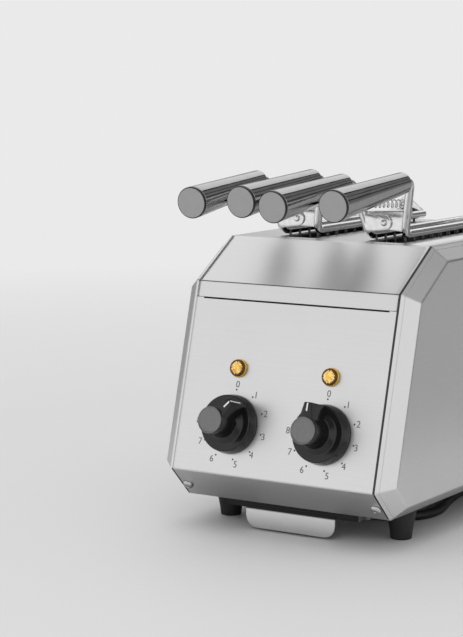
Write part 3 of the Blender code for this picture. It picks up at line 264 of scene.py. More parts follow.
def chromeFinish(name, **changes):
    # Bright plating: fine noise mottles the roughness, broad noise bends the reflections a little
    look = {**rodLook, **changes}
    made, tap, shader = newFinish(name, look["colour"], look["roughness"], 1.0)
    wave = tap.noise(*look["wave"], look["grain"])
    speck = tap.noise(*look["speck"])
    dull = dimmed(look["colour"], look["dim"])
    feed(tap, shader, Base_Color=tap.blend(speck.part(*look["dimEdge"]), look["colour"], dull),
         Roughness=look["roughness"] + speck.part(*look["roughEdge"]) * look["roughSpread"],
         Normal=tap.bump(wave, *look["bump"]))
    return made


finishes["chromeRod"] = chromeFinish("chrome_rod")
finishes["handleChrome"] = chromeFinish("handle_chrome", colour=(0.49, 0.49, 0.495, 1), roughness=0.07,
                                        roughSpread=0.06, dim=0.85, wave=(1.0, 2.0, 0.5), grain=(260, 7, 260),
                                        bump=(0.16, 0.0004))
# The cage's wires are chrome darkened to grey: painted shade for wires that hang down inside the slot
finishes["cageWire"] = chromeFinish("cage_wire", colour=grey(0.13), roughness=0.30)

plainLook = {"metallic": 0.0, "speckScale": 300.0, "speckDetail": 4.0, "speckRoughness": 0.6, "dim": 0.85,
             "dimEdge": (0.35, 0.7), "roughShare": 0.4, "bump": 0.05, "bumpDepth": 0.0002}


def plainFinish(name, colour, roughness, **changes):
    # Moulded or matt skin: fine noise moves its colour, its roughness and its skin a little
    look = {**plainLook, **changes}
    made, tap, shader = newFinish(name, colour, roughness, look["metallic"])
    speck = tap.noise(look["speckScale"], look["speckDetail"], look["speckRoughness"])
    feed(tap, shader, Base_Color=tap.blend(speck.part(*look["dimEdge"]), colour, dimmed(colour, look["dim"])),
         Roughness=roughness + (speck - 0.5) * (roughness * look["roughShare"]),
         Normal=tap.bump(speck, look["bump"], look["bumpDepth"]))
    return made


finishes.update({
    "handleCap": plainFinish("handle_cap", tone(154), 0.48, speckScale=500.0, dim=0.94),
    "knobBlack": plainFinish("knob_black", grey(0.007), 0.20, speckScale=160.0, dim=0.9, bump=0.02),
    "knobCap": plainFinish("knob_cap", grey(0.21), 0.36, metallic=0.9, speckScale=400.0, dim=0.94, bump=0.02),
    "knobLine": plainFinish("knob_line", grey(0.75), 0.45, speckScale=500.0, dim=0.95),
    "timerCase": plainFinish("timer_case", (0.55, 0.53, 0.48, 1), 0.50),
    "lampCase": plainFinish("lamp_case", grey(0.10), 0.45),
    "capBlack": plainFinish("cap_black", grey(0.014), 0.34, speckScale=500.0, dim=0.9),
    "lampWall": plainFinish("lamp_wall", (0.085, 0.028, 0.006, 1), 0.14, speckScale=500.0, dim=0.6),
    "lampBase": plainFinish("lamp_base", (0.80, 0.46, 0.010, 1), 0.16, speckScale=400.0, dim=0.75),
    "footRubber": plainFinish("foot_rubber", grey(0.016), 0.55, speckScale=900.0, dim=0.7, bump=0.10),
    "cordRubber": plainFinish("cord_rubber", grey(0.014), 0.46, speckScale=900.0, dim=0.75, bump=0.08),
    "heaterSheath": plainFinish("heater_sheath", (0.20, 0.19, 0.18, 1), 0.50, metallic=1.0, speckScale=350.0,
                                dim=0.6),
    "pinBrass": plainFinish("pin_brass", (0.66, 0.64, 0.58, 1), 0.24, metallic=1.0, dim=0.9),
    "markInk": plainFinish("mark_ink", grey(0.10), 0.55, speckScale=600.0, dim=0.9),
    "dotInk": plainFinish("dot_ink", grey(0.02), 0.55, speckScale=600.0, dim=0.9),
    # fold_shade and slot_shade are painted shade: dark strips laid along a fold or in a gap where shade falls
    "foldShade": plainFinish("fold_shade", grey(0.075), 0.60, speckScale=200.0, dim=0.8),
    "slotShade": plainFinish("slot_shade", grey(0.04), 0.70, speckScale=200.0, dim=0.8),
})

amberLook = {"colour": (0.80, 0.50, 0.14, 1), "roughness": 0.10, "roughSpread": 0.06, "coatRoughness": 0.05,
             "glow": 0.22, "mottle": (520.0, 2.0, 0.5), "mottleEdge": (0.35, 0.62),
             "skin": ((0.66, 0.31, 0.008, 1), (0.90, 0.66, 0.20, 1)),
             "shine": ((0.50, 0.22, 0.004, 1), (0.9, 0.62, 0.14, 1))}


def amberFinish():
    # Clear amber plastic over a small glow; noise mottles both from deep to pale
    look = amberLook
    made, tap, shader = newFinish("amber_lens", look["colour"], look["roughness"], Coat_Weight=1.0,
                                  Coat_Roughness=look["coatRoughness"], Emission_Strength=look["glow"])
    share = tap.noise(*look["mottle"]).part(*look["mottleEdge"])
    feed(tap, shader, Base_Color=tap.blend(share, *look["skin"]),
         Emission_Color=tap.blend(share, *look["shine"]),
         Roughness=look["roughness"] + share * look["roughSpread"])
    return made


finishes["amberLens"] = amberFinish()

# The crumb tray is brushed steel; its low front wall, in front of inner and above edge, gets painted shade
trayLook = {"colour": grey(0.70), "roughness": 0.30, "leastRough": 0.26, "roughSpread": 0.10,
            "streak": (1.0, 4.0, 0.6), "grain": (9, 900, 900), "bump": (0.10, 0.0002), "clean": grey(0.90),
            "soot": grey(0.03), "edge": (0.0152, 0.0162), "inner": (-0.1490, -0.1480)}


def trayFinish():
    look = trayLook
    made, tap, shader = newFinish("tray_steel", look["colour"], look["roughness"], 1.0)
    place = tap.node("ShaderNodeTexCoord", output=3)
    # painted shade: the front wall is made near-black where it sits in shadow under the casing's bottom edge
    shadedWall = place.coordinate(2).part(*look["edge"]) * (1.0 - place.coordinate(1).part(*look["inner"]))
    streak = tap.noise(*look["streak"], look["grain"])
    feed(tap, shader, Base_Color=tap.blend(shadedWall, look["clean"], look["soot"]),
         Roughness=look["leastRough"] + streak * look["roughSpread"], Normal=tap.bump(streak, *look["bump"]))
    return made


finishes["traySteel"] = trayFinish()
print("finishes made", len(finishes))


def facing(points, faces):     # a shell whose signed volume comes out below zero has its faces turned round
    points = np.asarray(points, float)
    centred = points - points.mean(0)
    volume = 0.0
    for rows in faces:
        for index in range(1, rows.shape[1] - 1):       # a fan of triangles over each face
            a, b, c = centred[rows[:, 0]], centred[rows[:, index]], centred[rows[:, index + 1]]
            volume += np.einsum("ij,ij->i", a, np.cross(b, c)).sum()
    return points, faces if volume > 0 else [rows[:, ::-1] for rows in faces]


def newPiece(name, shells, matrix, finish, smooth=40.0):
    # A piece is one or more closed shells; a shell is its points and its faces as rows of point numbers.
    # Edges that bend by less than smooth degrees are shaded round, and at 0 every face is flat
    points, rows, start = [], [], 0
    for shell in shells:
        shellPoints, shellFaces = facing(*shell)
        points.append(shellPoints)
        rows += [row for block in shellFaces for row in (block + start).tolist()]
        start += len(shellPoints)
    mesh = bpy.data.meshes.new(name)
    mesh.from_pydata(placed(np.concatenate(points), matrix).tolist(), [], rows)
    mesh.update()
    if smooth:
        mesh.shade_smooth()
        mesh.set_sharp_from_angle(angle=radians(smooth))
    mesh.materials.append(finishes[finish])
    made = bpy.data.objects.new(name, mesh)
    bpy.context.scene.collection.objects.link(made)
    return made


def latticeFaces(rows, columns, closed=True):
    # Four corners of each cell of a grid of points; a closed grid joins its last column to its first
    i = np.arange(rows - 1)[:, None]
    j = np.arange(columns if closed else columns - 1)[None, :]
    k = (j + 1) % columns
    return np.stack([i * columns + j, i * columns + k, (i + 1) * columns + k, (i + 1) * columns + j],
                    -1).reshape(-1, 4)


def leftOf(rows):       # rows of two coordinates turned a quarter to the left
    return np.stack([-rows[:, 1], rows[:, 0]], 1)


def gridOf(x, y, z):        # points whose three coordinates are spread over one grid
    return np.stack(np.broadcast_arrays(x, y, z), -1)


def atLevel(outline, level):        # an outline's points with a third coordinate
    return np.column_stack([outline, np.broadcast_to(level, len(outline))])


def around(sides):      # even angles once round
    return np.arange(sides) * 2 * pi / sides


def eased(share):       # 0 to 1 with a level start and end: three squares less two cubes
    return share * share * (3 - 2 * share)


def ringShell(grid):        # rings of points joined in order; each end ring closes onto a point at its middle
    rows, sides = grid.shape[:2]
    j = np.arange(sides)
    k = (j + 1) % sides
    last = (rows - 1) * sides
    points = np.concatenate([grid.reshape(-1, 3), grid[0].mean(0)[None], grid[-1].mean(0)[None]])
    return points, [latticeFaces(rows, sides), np.stack([k, j, np.full(sides, rows * sides)], 1),
                    np.stack([j + last, k + last, np.full(sides, rows * sides + 1)], 1)]


def roundCorners(points, radius, steps, hold=0.0):
    # Each inner corner gives way to an arc of the radius that touches both of its sides; with a hold,
    # a point stands that far outside each end of the arc and keeps the flat beside it flat
    points = np.asarray(points, float)
    radii = np.broadcast_to(radius, len(points))
    made = [points[:1]]
    for before, corner, after, bend in zip(points, points[1:], points[2:], radii[1:]):
        first, second = unit(before - corner), unit(after - corner)
        half = np.arccos(np.clip(first @ second, -1, 1)) / 2
        reach = bend / np.tan(half)
        centre = corner + unit(first + second) * bend / np.sin(half)
        a, b = corner + first * reach - centre, corner + second * reach - centre
        sweep = pi - 2 * half
        share = np.linspace(0, 1, steps + 1)[:, None]
        arc = centre + (np.sin((1 - share) * sweep) * a + np.sin(share * sweep) * b) / np.sin(sweep)
        held = [[corner + side * (reach + hold)] for side in (first, second)] if hold else [arc[:0], arc[:0]]
        made += [held[0], arc, held[1]]
    made.append(points[-1:])
    return np.concatenate(made)


def softLine(points, steps):        # each point is two coordinates and the radius of its corner
    points = np.asarray(points, float)
    return roundCorners(points[:, :2], points[:, 2], steps)


def turnedShell(profile, sides=48):     # each (radius, height) point goes once round the local Z axis
    profile = np.asarray(profile, float)
    angle = around(sides)
    return ringShell(gridOf(profile[:, :1] * np.cos(angle), profile[:, :1] * np.sin(angle), profile[:, 1:]))


tubeEnd = {"rings": 5, "start": 0.12, "softShare": 0.35, "upright": 0.9}


def tubeShell(path, radius, sides, rounded=True):
    # A ring stands square to the path at each point, carried along with the least twist; with rounded
    # ends, rings of a shrinking radius on a quarter circle take the place of the first and the last
    path = np.asarray(path, float)
    step = unitRows(np.diff(path, axis=0))
    heading = unitRows(np.concatenate([step[:1], step[:-1] + step[1:], step[-1:]]))
    radii = np.full(len(path), float(radius))
    if rounded:
        turn = np.linspace(tubeEnd["start"], 1, tubeEnd["rings"]) * pi / 2
        soft = radius * tubeEnd["softShare"]
        shrunk = radius - soft + soft * np.sin(turn)
        back = soft * np.cos(turn)
        head = path[0] + heading[0] * soft - np.outer(back, heading[0])
        tail = path[-1] - heading[-1] * soft + np.outer(back, heading[-1])
        path = np.concatenate([head, path[1:-1], tail[::-1]])
        radii = np.concatenate([shrunk, radii[1:-1], shrunk[::-1]])
        ends = [np.repeat(end, tubeEnd["rings"], 0) for end in (heading[:1], heading[-1:])]
        heading = np.concatenate([ends[0], heading[1:-1], ends[1]])
    guide = [0, 0, 1] if abs(heading[0][2]) < tubeEnd["upright"] else [1, 0, 0]
    sideways = [unit(np.cross(heading[0], guide))]
    for ahead in heading[1:]:
        sideways.append(unit(sideways[-1] - ahead * (sideways[-1] @ ahead)))
    sideways = np.array(sideways)
    upward = np.cross(heading, sideways)
    angle = around(sides)[None, :, None]
    spread = sideways[:, None] * np.cos(angle) + upward[:, None] * np.sin(angle)
    return ringShell(path[:, None] + spread * radii[:, None, None])


def drawnIn(outline, inset, sharpest=0.3):
    # A closed outline moved inwards, square to its sides: each corner goes along the middle of its two
    # sides' normals, further the sharper it is
    first, second = outline - np.roll(outline, 1, 0), np.roll(outline, -1, 0) - outline
    if (outline[:, 0] * np.roll(outline[:, 1], -1) - outline[:, 1] * np.roll(outline[:, 0], -1)).sum() < 0:
        inset = -inset
    first, second = unitRows(first), unitRows(second)
    square = unitRows(leftOf(first + second))
    reach = 1 / np.clip((square * leftOf(first)).sum(1), sharpest, 1)
    return outline + square * (reach * inset)[:, None]


def plateShell(outline, low, high, soft, bendShare=0.3):
    # An outline in X and Z given a thickness along Y, its two rims drawn in by the soft edge
    near = soft * bendShare
    rings = [(soft, low), (near, low + near), (0, low + soft),
             (0, high - soft), (near, high - near), (soft, high)]
    outline = np.asarray(outline, float)
    grid = np.stack([atLevel(drawnIn(outline, inset), level) for inset, level in rings])
    return ringShell(grid[:, :, [0, 2, 1]])


def turnedPiece(name, profile, matrix, finish, sides=48, smooth=40.0):
    return newPiece(name, [turnedShell(profile, sides)], matrix, finish, smooth)


def ridesOn(made, body, *replaced):     # moves with a body and takes the place of the named solids
    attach(made, body)
    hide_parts(*replaced)


def standsFor(made, node):      # takes the place of a solid, on the solid's own body
    ridesOn(made, bodyOf[node], node)


# Mains cord, in a loose coil behind the toaster; the route is (across, back) in the fold frame
cord = {
    "radius": 0.0035, "lift": 0.0001, "resolution": 6, "bevelResolution": 5, "length": 1.8748,
    "coilCentre": (0.063, 0.428), "coilOuter": 0.0450, "coilStep": 0.0076, "coilLayer": 0.0076,
    "coilTurns": 2, "ringPoints": 24,
    "route": ((-0.0620, 0.4320), (-0.0580, 0.4470), (-0.0470, 0.4580), (-0.0320, 0.4620), (-0.0170, 0.4580),
              (-0.0060, 0.4470), (-0.0020, 0.4320), (-0.0020, 0.4000), (-0.0020, 0.3500), (-0.0020, 0.2850),
              (-0.0020, 0.2250), (-0.0020, 0.1750), (-0.0015, 0.1385), (0.0027, 0.1223), (0.0145, 0.1104),
              (0.0307, 0.1060), (0.0469, 0.1104), (0.0588, 0.1223), (0.0630, 0.1385), (0.0610, 0.1550),
              (0.0565, 0.1710), (0.0525, 0.1870), (0.0490, 0.2060), (0.0440, 0.2450), (0.0355, 0.2900),
              (0.0255, 0.3350), (0.0185, 0.3800)),
}

# Strain relief: a shank in the chamfer's hole, a flange, and a tapering nose with grooves round it
gland = {
    "side": -0.062, "sink": 0.006, "shankRadius": 0.0055, "flange": 0.0025, "flangeRadius": 0.0085,
    "underEdge": 0.0004, "topEdge": (0.0006, 0.0007), "shoulder": 0.0066, "nose": 0.0200,
    "noseRadii": (0.0062, 0.0046), "nosePoints": 61, "grooves": 7, "grooveDepth": 0.00045,
    "groovedShares": (0.06, 0.93),
}

# Plug, along its own axis from the neck; each stretch goes from one (radius, height) to another
plug = {
    "lead": 0.045, "radius": 0.0180, "neck": ((0.0050, 0), (0.0055, 0.018)), "neckPoints": 41, "ribs": 5,
    "ribDepth": 0.0006, "ribbedShares": (0.05, 0.95), "shoulder": ((0.0062, 0.018), (0.0125, 0.025)),
    "flare": ((0.0125, 0.026), (0.0173, 0.0435)), "bodyPoints": 33,
    "rim": ((0.0178, 0.0450), (0.0180, 0.0462), (0.0180, 0.0545), (0.0176, 0.0556), (0.0165, 0.0560)),
    "pinSpacing": 0.019, "pinSides": 24,
    "pin": ((0.0024, 0.0500), (0.0024, 0.0738), (0.0021, 0.0747), (0.0014, 0.0750)),
    "sleeve": ((0.0024, 0.0555), (0.00245, 0.0556), (0.00245, 0.0655), (0.0024, 0.0656)),
}


def glandTip():     # centre and heading of the strain relief's open end, in the fold frame
    out = np.array([0, sin(chamferAngle), -cos(chamferAngle)])
    down = np.array([0, -cos(chamferAngle), -sin(chamferAngle)])
    root = np.array([gland["side"], casing["depth"], casing["lowFoldHeight"]]) + down * chamferMiddle
    return root + out * (casing["gap"] + gland["flange"] + gland["nose"]), out


def cordPoints():
    # Out of the gland, down a quarter bend to the table, along the route, round the coil in two layers
    # (in on the table, up half a turn at the middle, out again on top) and up to the plug's neck
    table, width = cord["radius"] + cord["lift"], 2 * cord["radius"]
    tip, out = glandTip()
    mouth = tip + out * casing["gap"]
    start = mouth + out * width
    bend = (start[2] - table) / (1 - sin(chamferAngle))
    foot = np.array([start[0], start[1] + bend * cos(chamferAngle), table])
    turn = chamferAngle + (pi / 2 - chamferAngle) / 2
    middle = np.array([start[0], foot[1] - bend * cos(turn), table + bend * (1 - sin(turn))])
    flat = atLevel(cord["route"], table)
    centre = np.array([*cord["coilCentre"], table])
    ring = cord["ringPoints"]
    total = 2 * cord["coilTurns"] * ring + ring // 4
    index = np.arange(total + 1)
    angle = pi - 2 * pi * index / ring
    radius = cord["coilOuter"] - cord["coilStep"] * np.minimum(index, total - index) / ring
    rise = eased(np.clip((index - total / 2 + ring / 4) / (ring / 2), 0, 1))
    coil = centre + np.stack([radius * np.cos(angle), radius * np.sin(angle), cord["coilLayer"] * rise], 1)
    gate = centre + np.array([-cord["coilOuter"], -width - casing["gap"], 0])
    lead = max(2, ceil(plug["lead"] / (2 * width)))
    share = np.arange(1, lead + 1)[:, None] / lead
    plugHeight = plug["radius"] + cord["lift"]
    end = coil[-1]
    climb = np.concatenate([end[0] + plug["lead"] * share, np.full_like(share, end[1]),
                            end[2] + (plugHeight - end[2]) * eased(share)], 1)
    last = np.array([end[0] + plug["lead"] + width, end[1], plugHeight])
    points = np.concatenate([[mouth, start, middle, foot], flat, [gate - np.array([0, width, 0]), gate],
                             coil, climb, [last]])
    return placed(points, foldFrame)


def makeCord():
    # A Bezier through the route's points; each handle is a sixth of the way between a point's neighbours
    points = cordPoints()
    ends = np.concatenate([[2 * points[0] - points[1]], points, [2 * points[-1] - points[-2]]])
    pull = (ends[2:] - ends[:-2]) / 6
    curve = bpy.data.curves.new("mainsCord", "CURVE")
    curve.dimensions = "3D"
    curve.resolution_u = curve.render_resolution_u = cord["resolution"]
    curve.bevel_depth = cord["radius"]
    curve.bevel_resolution = cord["bevelResolution"]
    curve.use_fill_caps = True
    spline = curve.splines.new("BEZIER")
    spline.bezier_points.add(len(points) - 1)
    spline.bezier_points.foreach_set("co", points.ravel())
    for knot, centre, reach in zip(spline.bezier_points, points, pull):
        knot.handle_left_type = knot.handle_right_type = "FREE"
        knot.handle_left, knot.handle_right = centre - reach, centre + reach
    curve.materials.append(finishes["cordRubber"])
    made = bpy.data.objects.new("mainsCord", curve)
    bpy.context.scene.collection.objects.link(made)
    ridesOn(made, "root", "mains_cord", "cord_coil")
    return made, points


def grooved(share, count, depth, ends):     # depth of even cosine grooves, none near either end
    return depth * (0.5 - 0.5 * np.cos(share * 2 * pi * count)) * (share > ends[0]) * (share < ends[1])


def stretch(ends, swell, share, cut=0.0):       # radii follow the swell and heights the share from end to end
    (firstRadius, firstHeight), (lastRadius, lastHeight) = ends
    return np.stack([firstRadius + (lastRadius - firstRadius) * swell - cut,
                     firstHeight + (lastHeight - firstHeight) * share], 1)


def makeGland():
    # Turned strain relief: flange against the rear chamfer, then a tapering nose with flex grooves
    share = np.linspace(0, 1, gland["nosePoints"])
    low, wide = casing["gap"] + gland["flange"], gland["flangeRadius"]
    rootRadius, tipRadius = gland["noseRadii"]
    aside, below = gland["topEdge"]
    flange = [(gland["shankRadius"], -gland["sink"]), (gland["shankRadius"], casing["gap"]),
              (wide - gland["underEdge"], casing["gap"]), (wide, casing["gap"] + gland["underEdge"]),
              (wide, low - below), (wide - aside, low), (gland["shoulder"], low)]
    nose = stretch(((rootRadius, low), (tipRadius, low + gland["nose"])), share, share,
                   grooved(share, gland["grooves"], gland["grooveDepth"], gland["groovedShares"]))
    matrix = rearChamferFrame @ shifted((gland["side"], chamferMiddle, 0))
    made = turnedPiece("strainRelief", np.concatenate([flange, nose]), matrix, "cordRubber")
    ridesOn(made, "root", "strain_relief")
    return made


def makePlug(end):
    # Turned plug body lying along X with a ribbed neck, a waist and a flat face, and two round pins
    neck, body = np.linspace(0, 1, plug["neckPoints"]), np.linspace(0, 1, plug["bodyPoints"])
    ribs = grooved(neck, plug["ribs"], plug["ribDepth"], plug["ribbedShares"])
    profile = np.concatenate([stretch(plug["neck"], neck, neck, ribs),
                              stretch(plug["shoulder"], np.sqrt(body), body),
                              stretch(plug["flare"], eased(body), body), plug["rim"]])
    matrix = shifted(end + np.array([casing["gap"], 0, 0])) @ rotated(pi / 2, "Y")
    made = [turnedPiece("plugBody", profile, matrix, "cordRubber")]
    for side, sign in (("Left", -1), ("Right", 1)):
        pinMatrix = matrix @ shifted((0, sign * plug["pinSpacing"] / 2, 0))
        for part, name, finish in (("pin", "plugPin", "pinBrass"), ("sleeve", "plugSleeve", "cordRubber")):
            made.append(turnedPiece(name + side, plug[part], pinMatrix, finish,
                                    plug["pinSides"]))
    for piece in made:
        ridesOn(piece, "root", "mains_plug")
    return made


cordPiece, cordLine = makeCord()
glandPiece = makeGland()
plugPieces = makePlug(cordLine[-1])
print("cord laid", len(cordLine), "points")

# Floor, sky and lamps. What polished metal mirrors is a level by angle: round the Y axis behind the
# toaster (0 right, 90 up, 180 left) and round the Z axis on the far floor (0 right, 90 rear)
studio = {
    "floor": tone(203), "floorRough": 0.6, "floorSides": 96,
    "floorRadii": (0.3, 0.8, 1.6, 3.0, 6.0, 14.0, 30.0), "fade": (0.50, 1.75), "mirrorFade": (0.25, 0.70),
    # underEdge and rightEdge bound a patch of painted shade on the floor under the toaster's front, seen by
    # glossy rays
    "underEdge": (-0.195, -0.170), "rightEdge": (0.075, 0.100), "underShare": 0.50, "backdrop": tone(234),
    "diffuseSky": 0.88, "front": 0.90, "rearEdge": (0.10, 0.34), "ceiling": (0.50, 0.66),
    "ceilingEdge": (-0.18, -0.02), "ceilingShare": 0.8,
    "roll": ((-180, 0.12), (-14, 0.46), (4, 0.34), (14, 0.20), (24, 0.19), (27, 0.05), (33, 0.05), (36, 0.24),
             (50, 0.20), (53, 0.06), (56, 0.06), (59, 0.22), (74, 0.19), (77, 0.03), (83, 0.03), (85, 0.92),
             (104, 1.0), (144, 1.0), (152, 0.36), (158, 0.42), (172, 0.46), (177, 0.12), (180, 0.12)),
    "azimuth": ((-180, 0.80), (-150, 0.95), (-98, 0.95), (-82, 0.36), (-50, 0.30), (-38, 0.80), (-8, 0.72),
                (4, 0.62), (10, 0.03), (33, 0.03), (43, 0.47), (92, 0.40), (108, 0.14), (160, 0.16),
                (180, 0.80)),
}


def lightRays(tap):     # one tap for rays from the camera, one for glossy and transmission rays
    camera, glossy, clear = [tap.node("ShaderNodeLightPath", output=name) for name in
                             ("Is Camera Ray", "Is Glossy Ray", "Is Transmission Ray")]
    return camera, (glossy + clear).held()


def makeFloor():
    # A wide disc: plain matt floor near the toaster, turning into the backdrop's own pale grey far off
    sides, radii = studio["floorSides"], np.array(studio["floorRadii"])[:, None]
    grid = gridOf(radii * np.cos(around(sides)), radii * np.sin(around(sides)), 0.0)
    mesh = bpy.data.meshes.new("studioFloor")
    mesh.from_pydata(grid.reshape(-1, 3).tolist(), [], [*latticeFaces(len(radii), sides)[:, ::-1].tolist(),
                                                        list(range(sides))])
    floor = bpy.data.objects.new("studioFloor", mesh)
    bpy.context.scene.collection.objects.link(floor)
    made, tap, shader = newFinish("studio_floor", studio["floor"], studio["floorRough"])
    place = tap.node("ShaderNodeTexCoord", output=3)
    far = tap.node("ShaderNodeVectorMath", {"operation": "LENGTH"}, {0: place}, 1)
    seen, mirrored = lightRays(tap)
    outer = far.part(*studio["mirrorFade"])
    # Painted shade: glossy rays see the floor under the toaster's front partly black, so the lower chamfer
    # mirrors it dark
    paintedShadeUnder = (place.coordinate(1).part(*studio["underEdge"])
             * (1.0 - place.coordinate(0).part(*studio["rightEdge"])))
    level = tap.byAngle(place.coordinate(1), place.coordinate(0), studio["azimuth"]) * outer
    shown = tap.blend(mirrored, studio["backdrop"], level)
    glow = tap.node("ShaderNodeEmission", None, {"Color": shown, "Strength": 1.0})
    share = far.part(*studio["fade"]) * seen + mirrored * (
        outer + paintedShadeUnder * (1.0 - outer) * studio["underShare"])
    surface = Tap(tap.tree, shader.outputs[0])
    mixed = tap.node("ShaderNodeMixShader", None, {0: share, 1: surface, 2: glow})
    tap.tree.links.new(mixed.socket, tap.tree.nodes["Material Output"].inputs["Surface"])
    mesh.materials.append(made)


def makeSky():
    # Even light for matt surfaces; polished ones mirror a plain front and the banded rear of the room
    world = bpy.data.worlds.new("studioSky")
    bpy.context.scene.world = world
    world.use_nodes = True
    tree = world.node_tree
    tap = Tap(tree)
    for old in list(tree.nodes):
        tree.nodes.remove(old)
    seen, mirrored = lightRays(tap)
    way = tap.node("ShaderNodeTexCoord", output=0)
    rear = way.coordinate(1).part(*studio["rearEdge"])
    ceiling = (way.coordinate(2).part(*studio["ceiling"])
               * (1.0 - way.coordinate(1).part(*studio["ceilingEdge"])))
    ahead = (1.0 - ceiling * studio["ceilingShare"]) * studio["front"]
    room = tap.byAngle(way.coordinate(2), way.coordinate(0), studio["roll"]) * rear + (1.0 - rear) * ahead
    plain, polished, shown = (
        tap.node("ShaderNodeBackground", None, {"Color": colour, "Strength": level})
        for colour, level in ((grey(1), studio["diffuseSky"]), (grey(1), room), (studio["backdrop"], 1.0)))
    mixed = tap.node("ShaderNodeMixShader", None, {0: mirrored, 1: plain, 2: polished})
    mixed = tap.node("ShaderNodeMixShader", None, {0: seen, 1: mixed, 2: shown})
    out = tree.nodes.new("ShaderNodeOutputWorld")
    tree.links.new(mixed.socket, out.inputs["Surface"])


def makeLight(name, place, aim, size, power):
    data = bpy.data.lights.new(name, "AREA")
    data.shape = "RECTANGLE"
    data.size, data.size_y = size
    data.energy = power
    light = bpy.data.objects.new(name, data)
    bpy.context.scene.collection.objects.link(light)
    light.location = place
    light.rotation_euler = (Vector(aim) - Vector(place)).to_track_quat("-Z", "Y").to_euler()
    light.visible_glossy = False        # polished surfaces mirror the sky's own panels


lamps = {       # place, aim, size and power
    "topSoftbox": ((-0.4, -0.3, 2.5), (0, 0, 0.1), (2.8, 2.4), 23),
    "frontSoftbox": ((0.9, -2.8, 1.9), (0, 0, 0.1), (1.8, 1.4), 14),
}
makeFloor()
makeSky()
for name, (place, aim, size, power) in lamps.items():
    makeLight(name, place, aim, size, power)
print("studio lit")


# Casing
def sheetShell(profile, across, gauge, topDrop=None):
    # A folded strip: the outer profile and the same line one gauge inside, carried across the width;
    # topDrop lowers the first edge by a height where the strip is nearer the middle than a distance
    profile, across = np.asarray(profile, float), np.asarray(across, float)
    step = unitRows(np.diff(profile, axis=0))
    first, second = np.concatenate([step[:1], step]), np.concatenate([step, step[-1:]])
    square = unitRows(leftOf(first + second))
    reach = 1 / (square * leftOf(first)).sum(1)
    ring = np.concatenate([profile, (profile + square * (gauge * reach)[:, None])[::-1]])
    count, columns = len(profile), len(across)
    grid = gridOf(across[:, None], ring[:, 0], ring[:, 1])
    if topDrop:
        drop, distance = topDrop
        moved = unit(profile[1] - profile[0]) * drop
        low = np.abs(across) < distance
        grid[low, 0, 1:] += moved
        grid[low, 2 * count - 1, 1:] += moved
    i = np.arange(count - 1)
    end = np.stack([i, i + 1, 2 * count - 2 - i, 2 * count - 1 - i], 1)
    return grid.reshape(-1, 3), [latticeFaces(columns, 2 * count), end[:, ::-1],
                                 end + (columns - 1) * 2 * count]


# Corners of the front's profile, (back, up) in the fold frame
frontBottom = np.array([casing["bottomSetback"], casing["bottomHeight"]])
frontLow = np.array([0, casing["lowFoldHeight"]])
frontHigh = np.array([casing["highFoldSetback"], casing["highFoldHeight"]])
frontDeck = np.array([casing["deckSetback"], casing["deckHeight"]])
panelUp = unit(frontHigh - frontLow)

# The panel's slit is below the upper fold; the shades are thin strips of painted shade in a gap or on a fold
panel = {"seamBelowFold": 0.0120, "slitHeight": 0.0009, "slitWidth": 0.157, "sideGap": 0.0014,
         "flange": 0.012, "column": 0.05, "step": 1e-5, "shadeDepth": 0.00015, "shadeSteps": 4,
         "foldLine": 0.0007, "foldLift": 0.00005}
seamAlong = np.linalg.norm(frontHigh - frontLow) - panel["seamBelowFold"]

pan = {"bulge": 0.01166, "bevel": 0.01016, "soft": 0.0012, "softSteps": 7, "hold": 0.0006, "rimHold": 0.0004,
       "cornerShrink": 0.05, "leastCorner": 0.0012, "cornerSteps": 5, "grooveAt": 0.0031,
       "grooveWidth": 0.0003, "grooveDepth": 0.00035}


def makePans():
    # Each pan is a ring of eight corners, rounded, drawn in and pushed out in steps from its flat
    # over the bevel to the rim, and back one gauge inside; a fine groove runs near the bevel's foot
    front = [frontBottom, frontLow, frontHigh, frontDeck]
    corners = np.array(front + [(casing["depth"] - back, up) for back, up in reversed(front)])
    rim, gauge, hold, soft = casing["width"] / 2, casing["gauge"], pan["hold"], pan["soft"]
    crest = np.array([pan["bevel"], pan["bulge"]])
    slope = unit(crest)
    low, high = crest - slope * soft, crest + np.array([soft, 0])
    share = np.linspace(0, 1, pan["softSteps"])[:, None]
    fold = (1 - share) ** 2 * high + 2 * share * (1 - share) * crest + share ** 2 * low
    sunk = np.array([slope[1], -slope[0]]) * pan["grooveDepth"]
    half = pan["grooveWidth"] / 2
    groove = [slope * (pan["grooveAt"] + along) + sunk * down for along, down in
              ((half * 2, 0), (half, 1), (-half, 1), (-half * 2, 0))]
    levels = [high + [hold, 0], *fold, low - slope * hold, *groove, slope * hold * 2, slope * pan["rimHold"],
              (0.0, 0.0), (gauge, 0.0), (crest[0] + gauge / 2, crest[1] - gauge),
              (crest[0] + soft * 2, crest[1] - gauge)]
    for side, sign in (("left", -1), ("right", 1)):
        grid = []
        for inset, lift in levels:
            line = drawnIn(corners, inset)
            middle = [(line[0] + line[-1]) / 2]
            radius = max(casing["foldRadius"] - inset * pan["cornerShrink"], pan["leastCorner"])
            ring = roundCorners(np.concatenate([middle, line, middle]), radius, pan["cornerSteps"],
                                casing["foldHold"])[:-1]
            grid.append(gridOf(sign * (rim + lift), ring[:, 0], ring[:, 1]))
        made = newPiece("sidePan" + side.capitalize(), [ringShell(np.array(grid))], foldFrame, "sideSteel",
                        smooth=25.0)
        ridesOn(made, "root", "side_panel_" + side)


def foldedLine(points):     # the profile of a sheet, with the press's radius at each fold
    return roundCorners(points, casing["foldRadius"], casing["foldSteps"], casing["foldHold"])


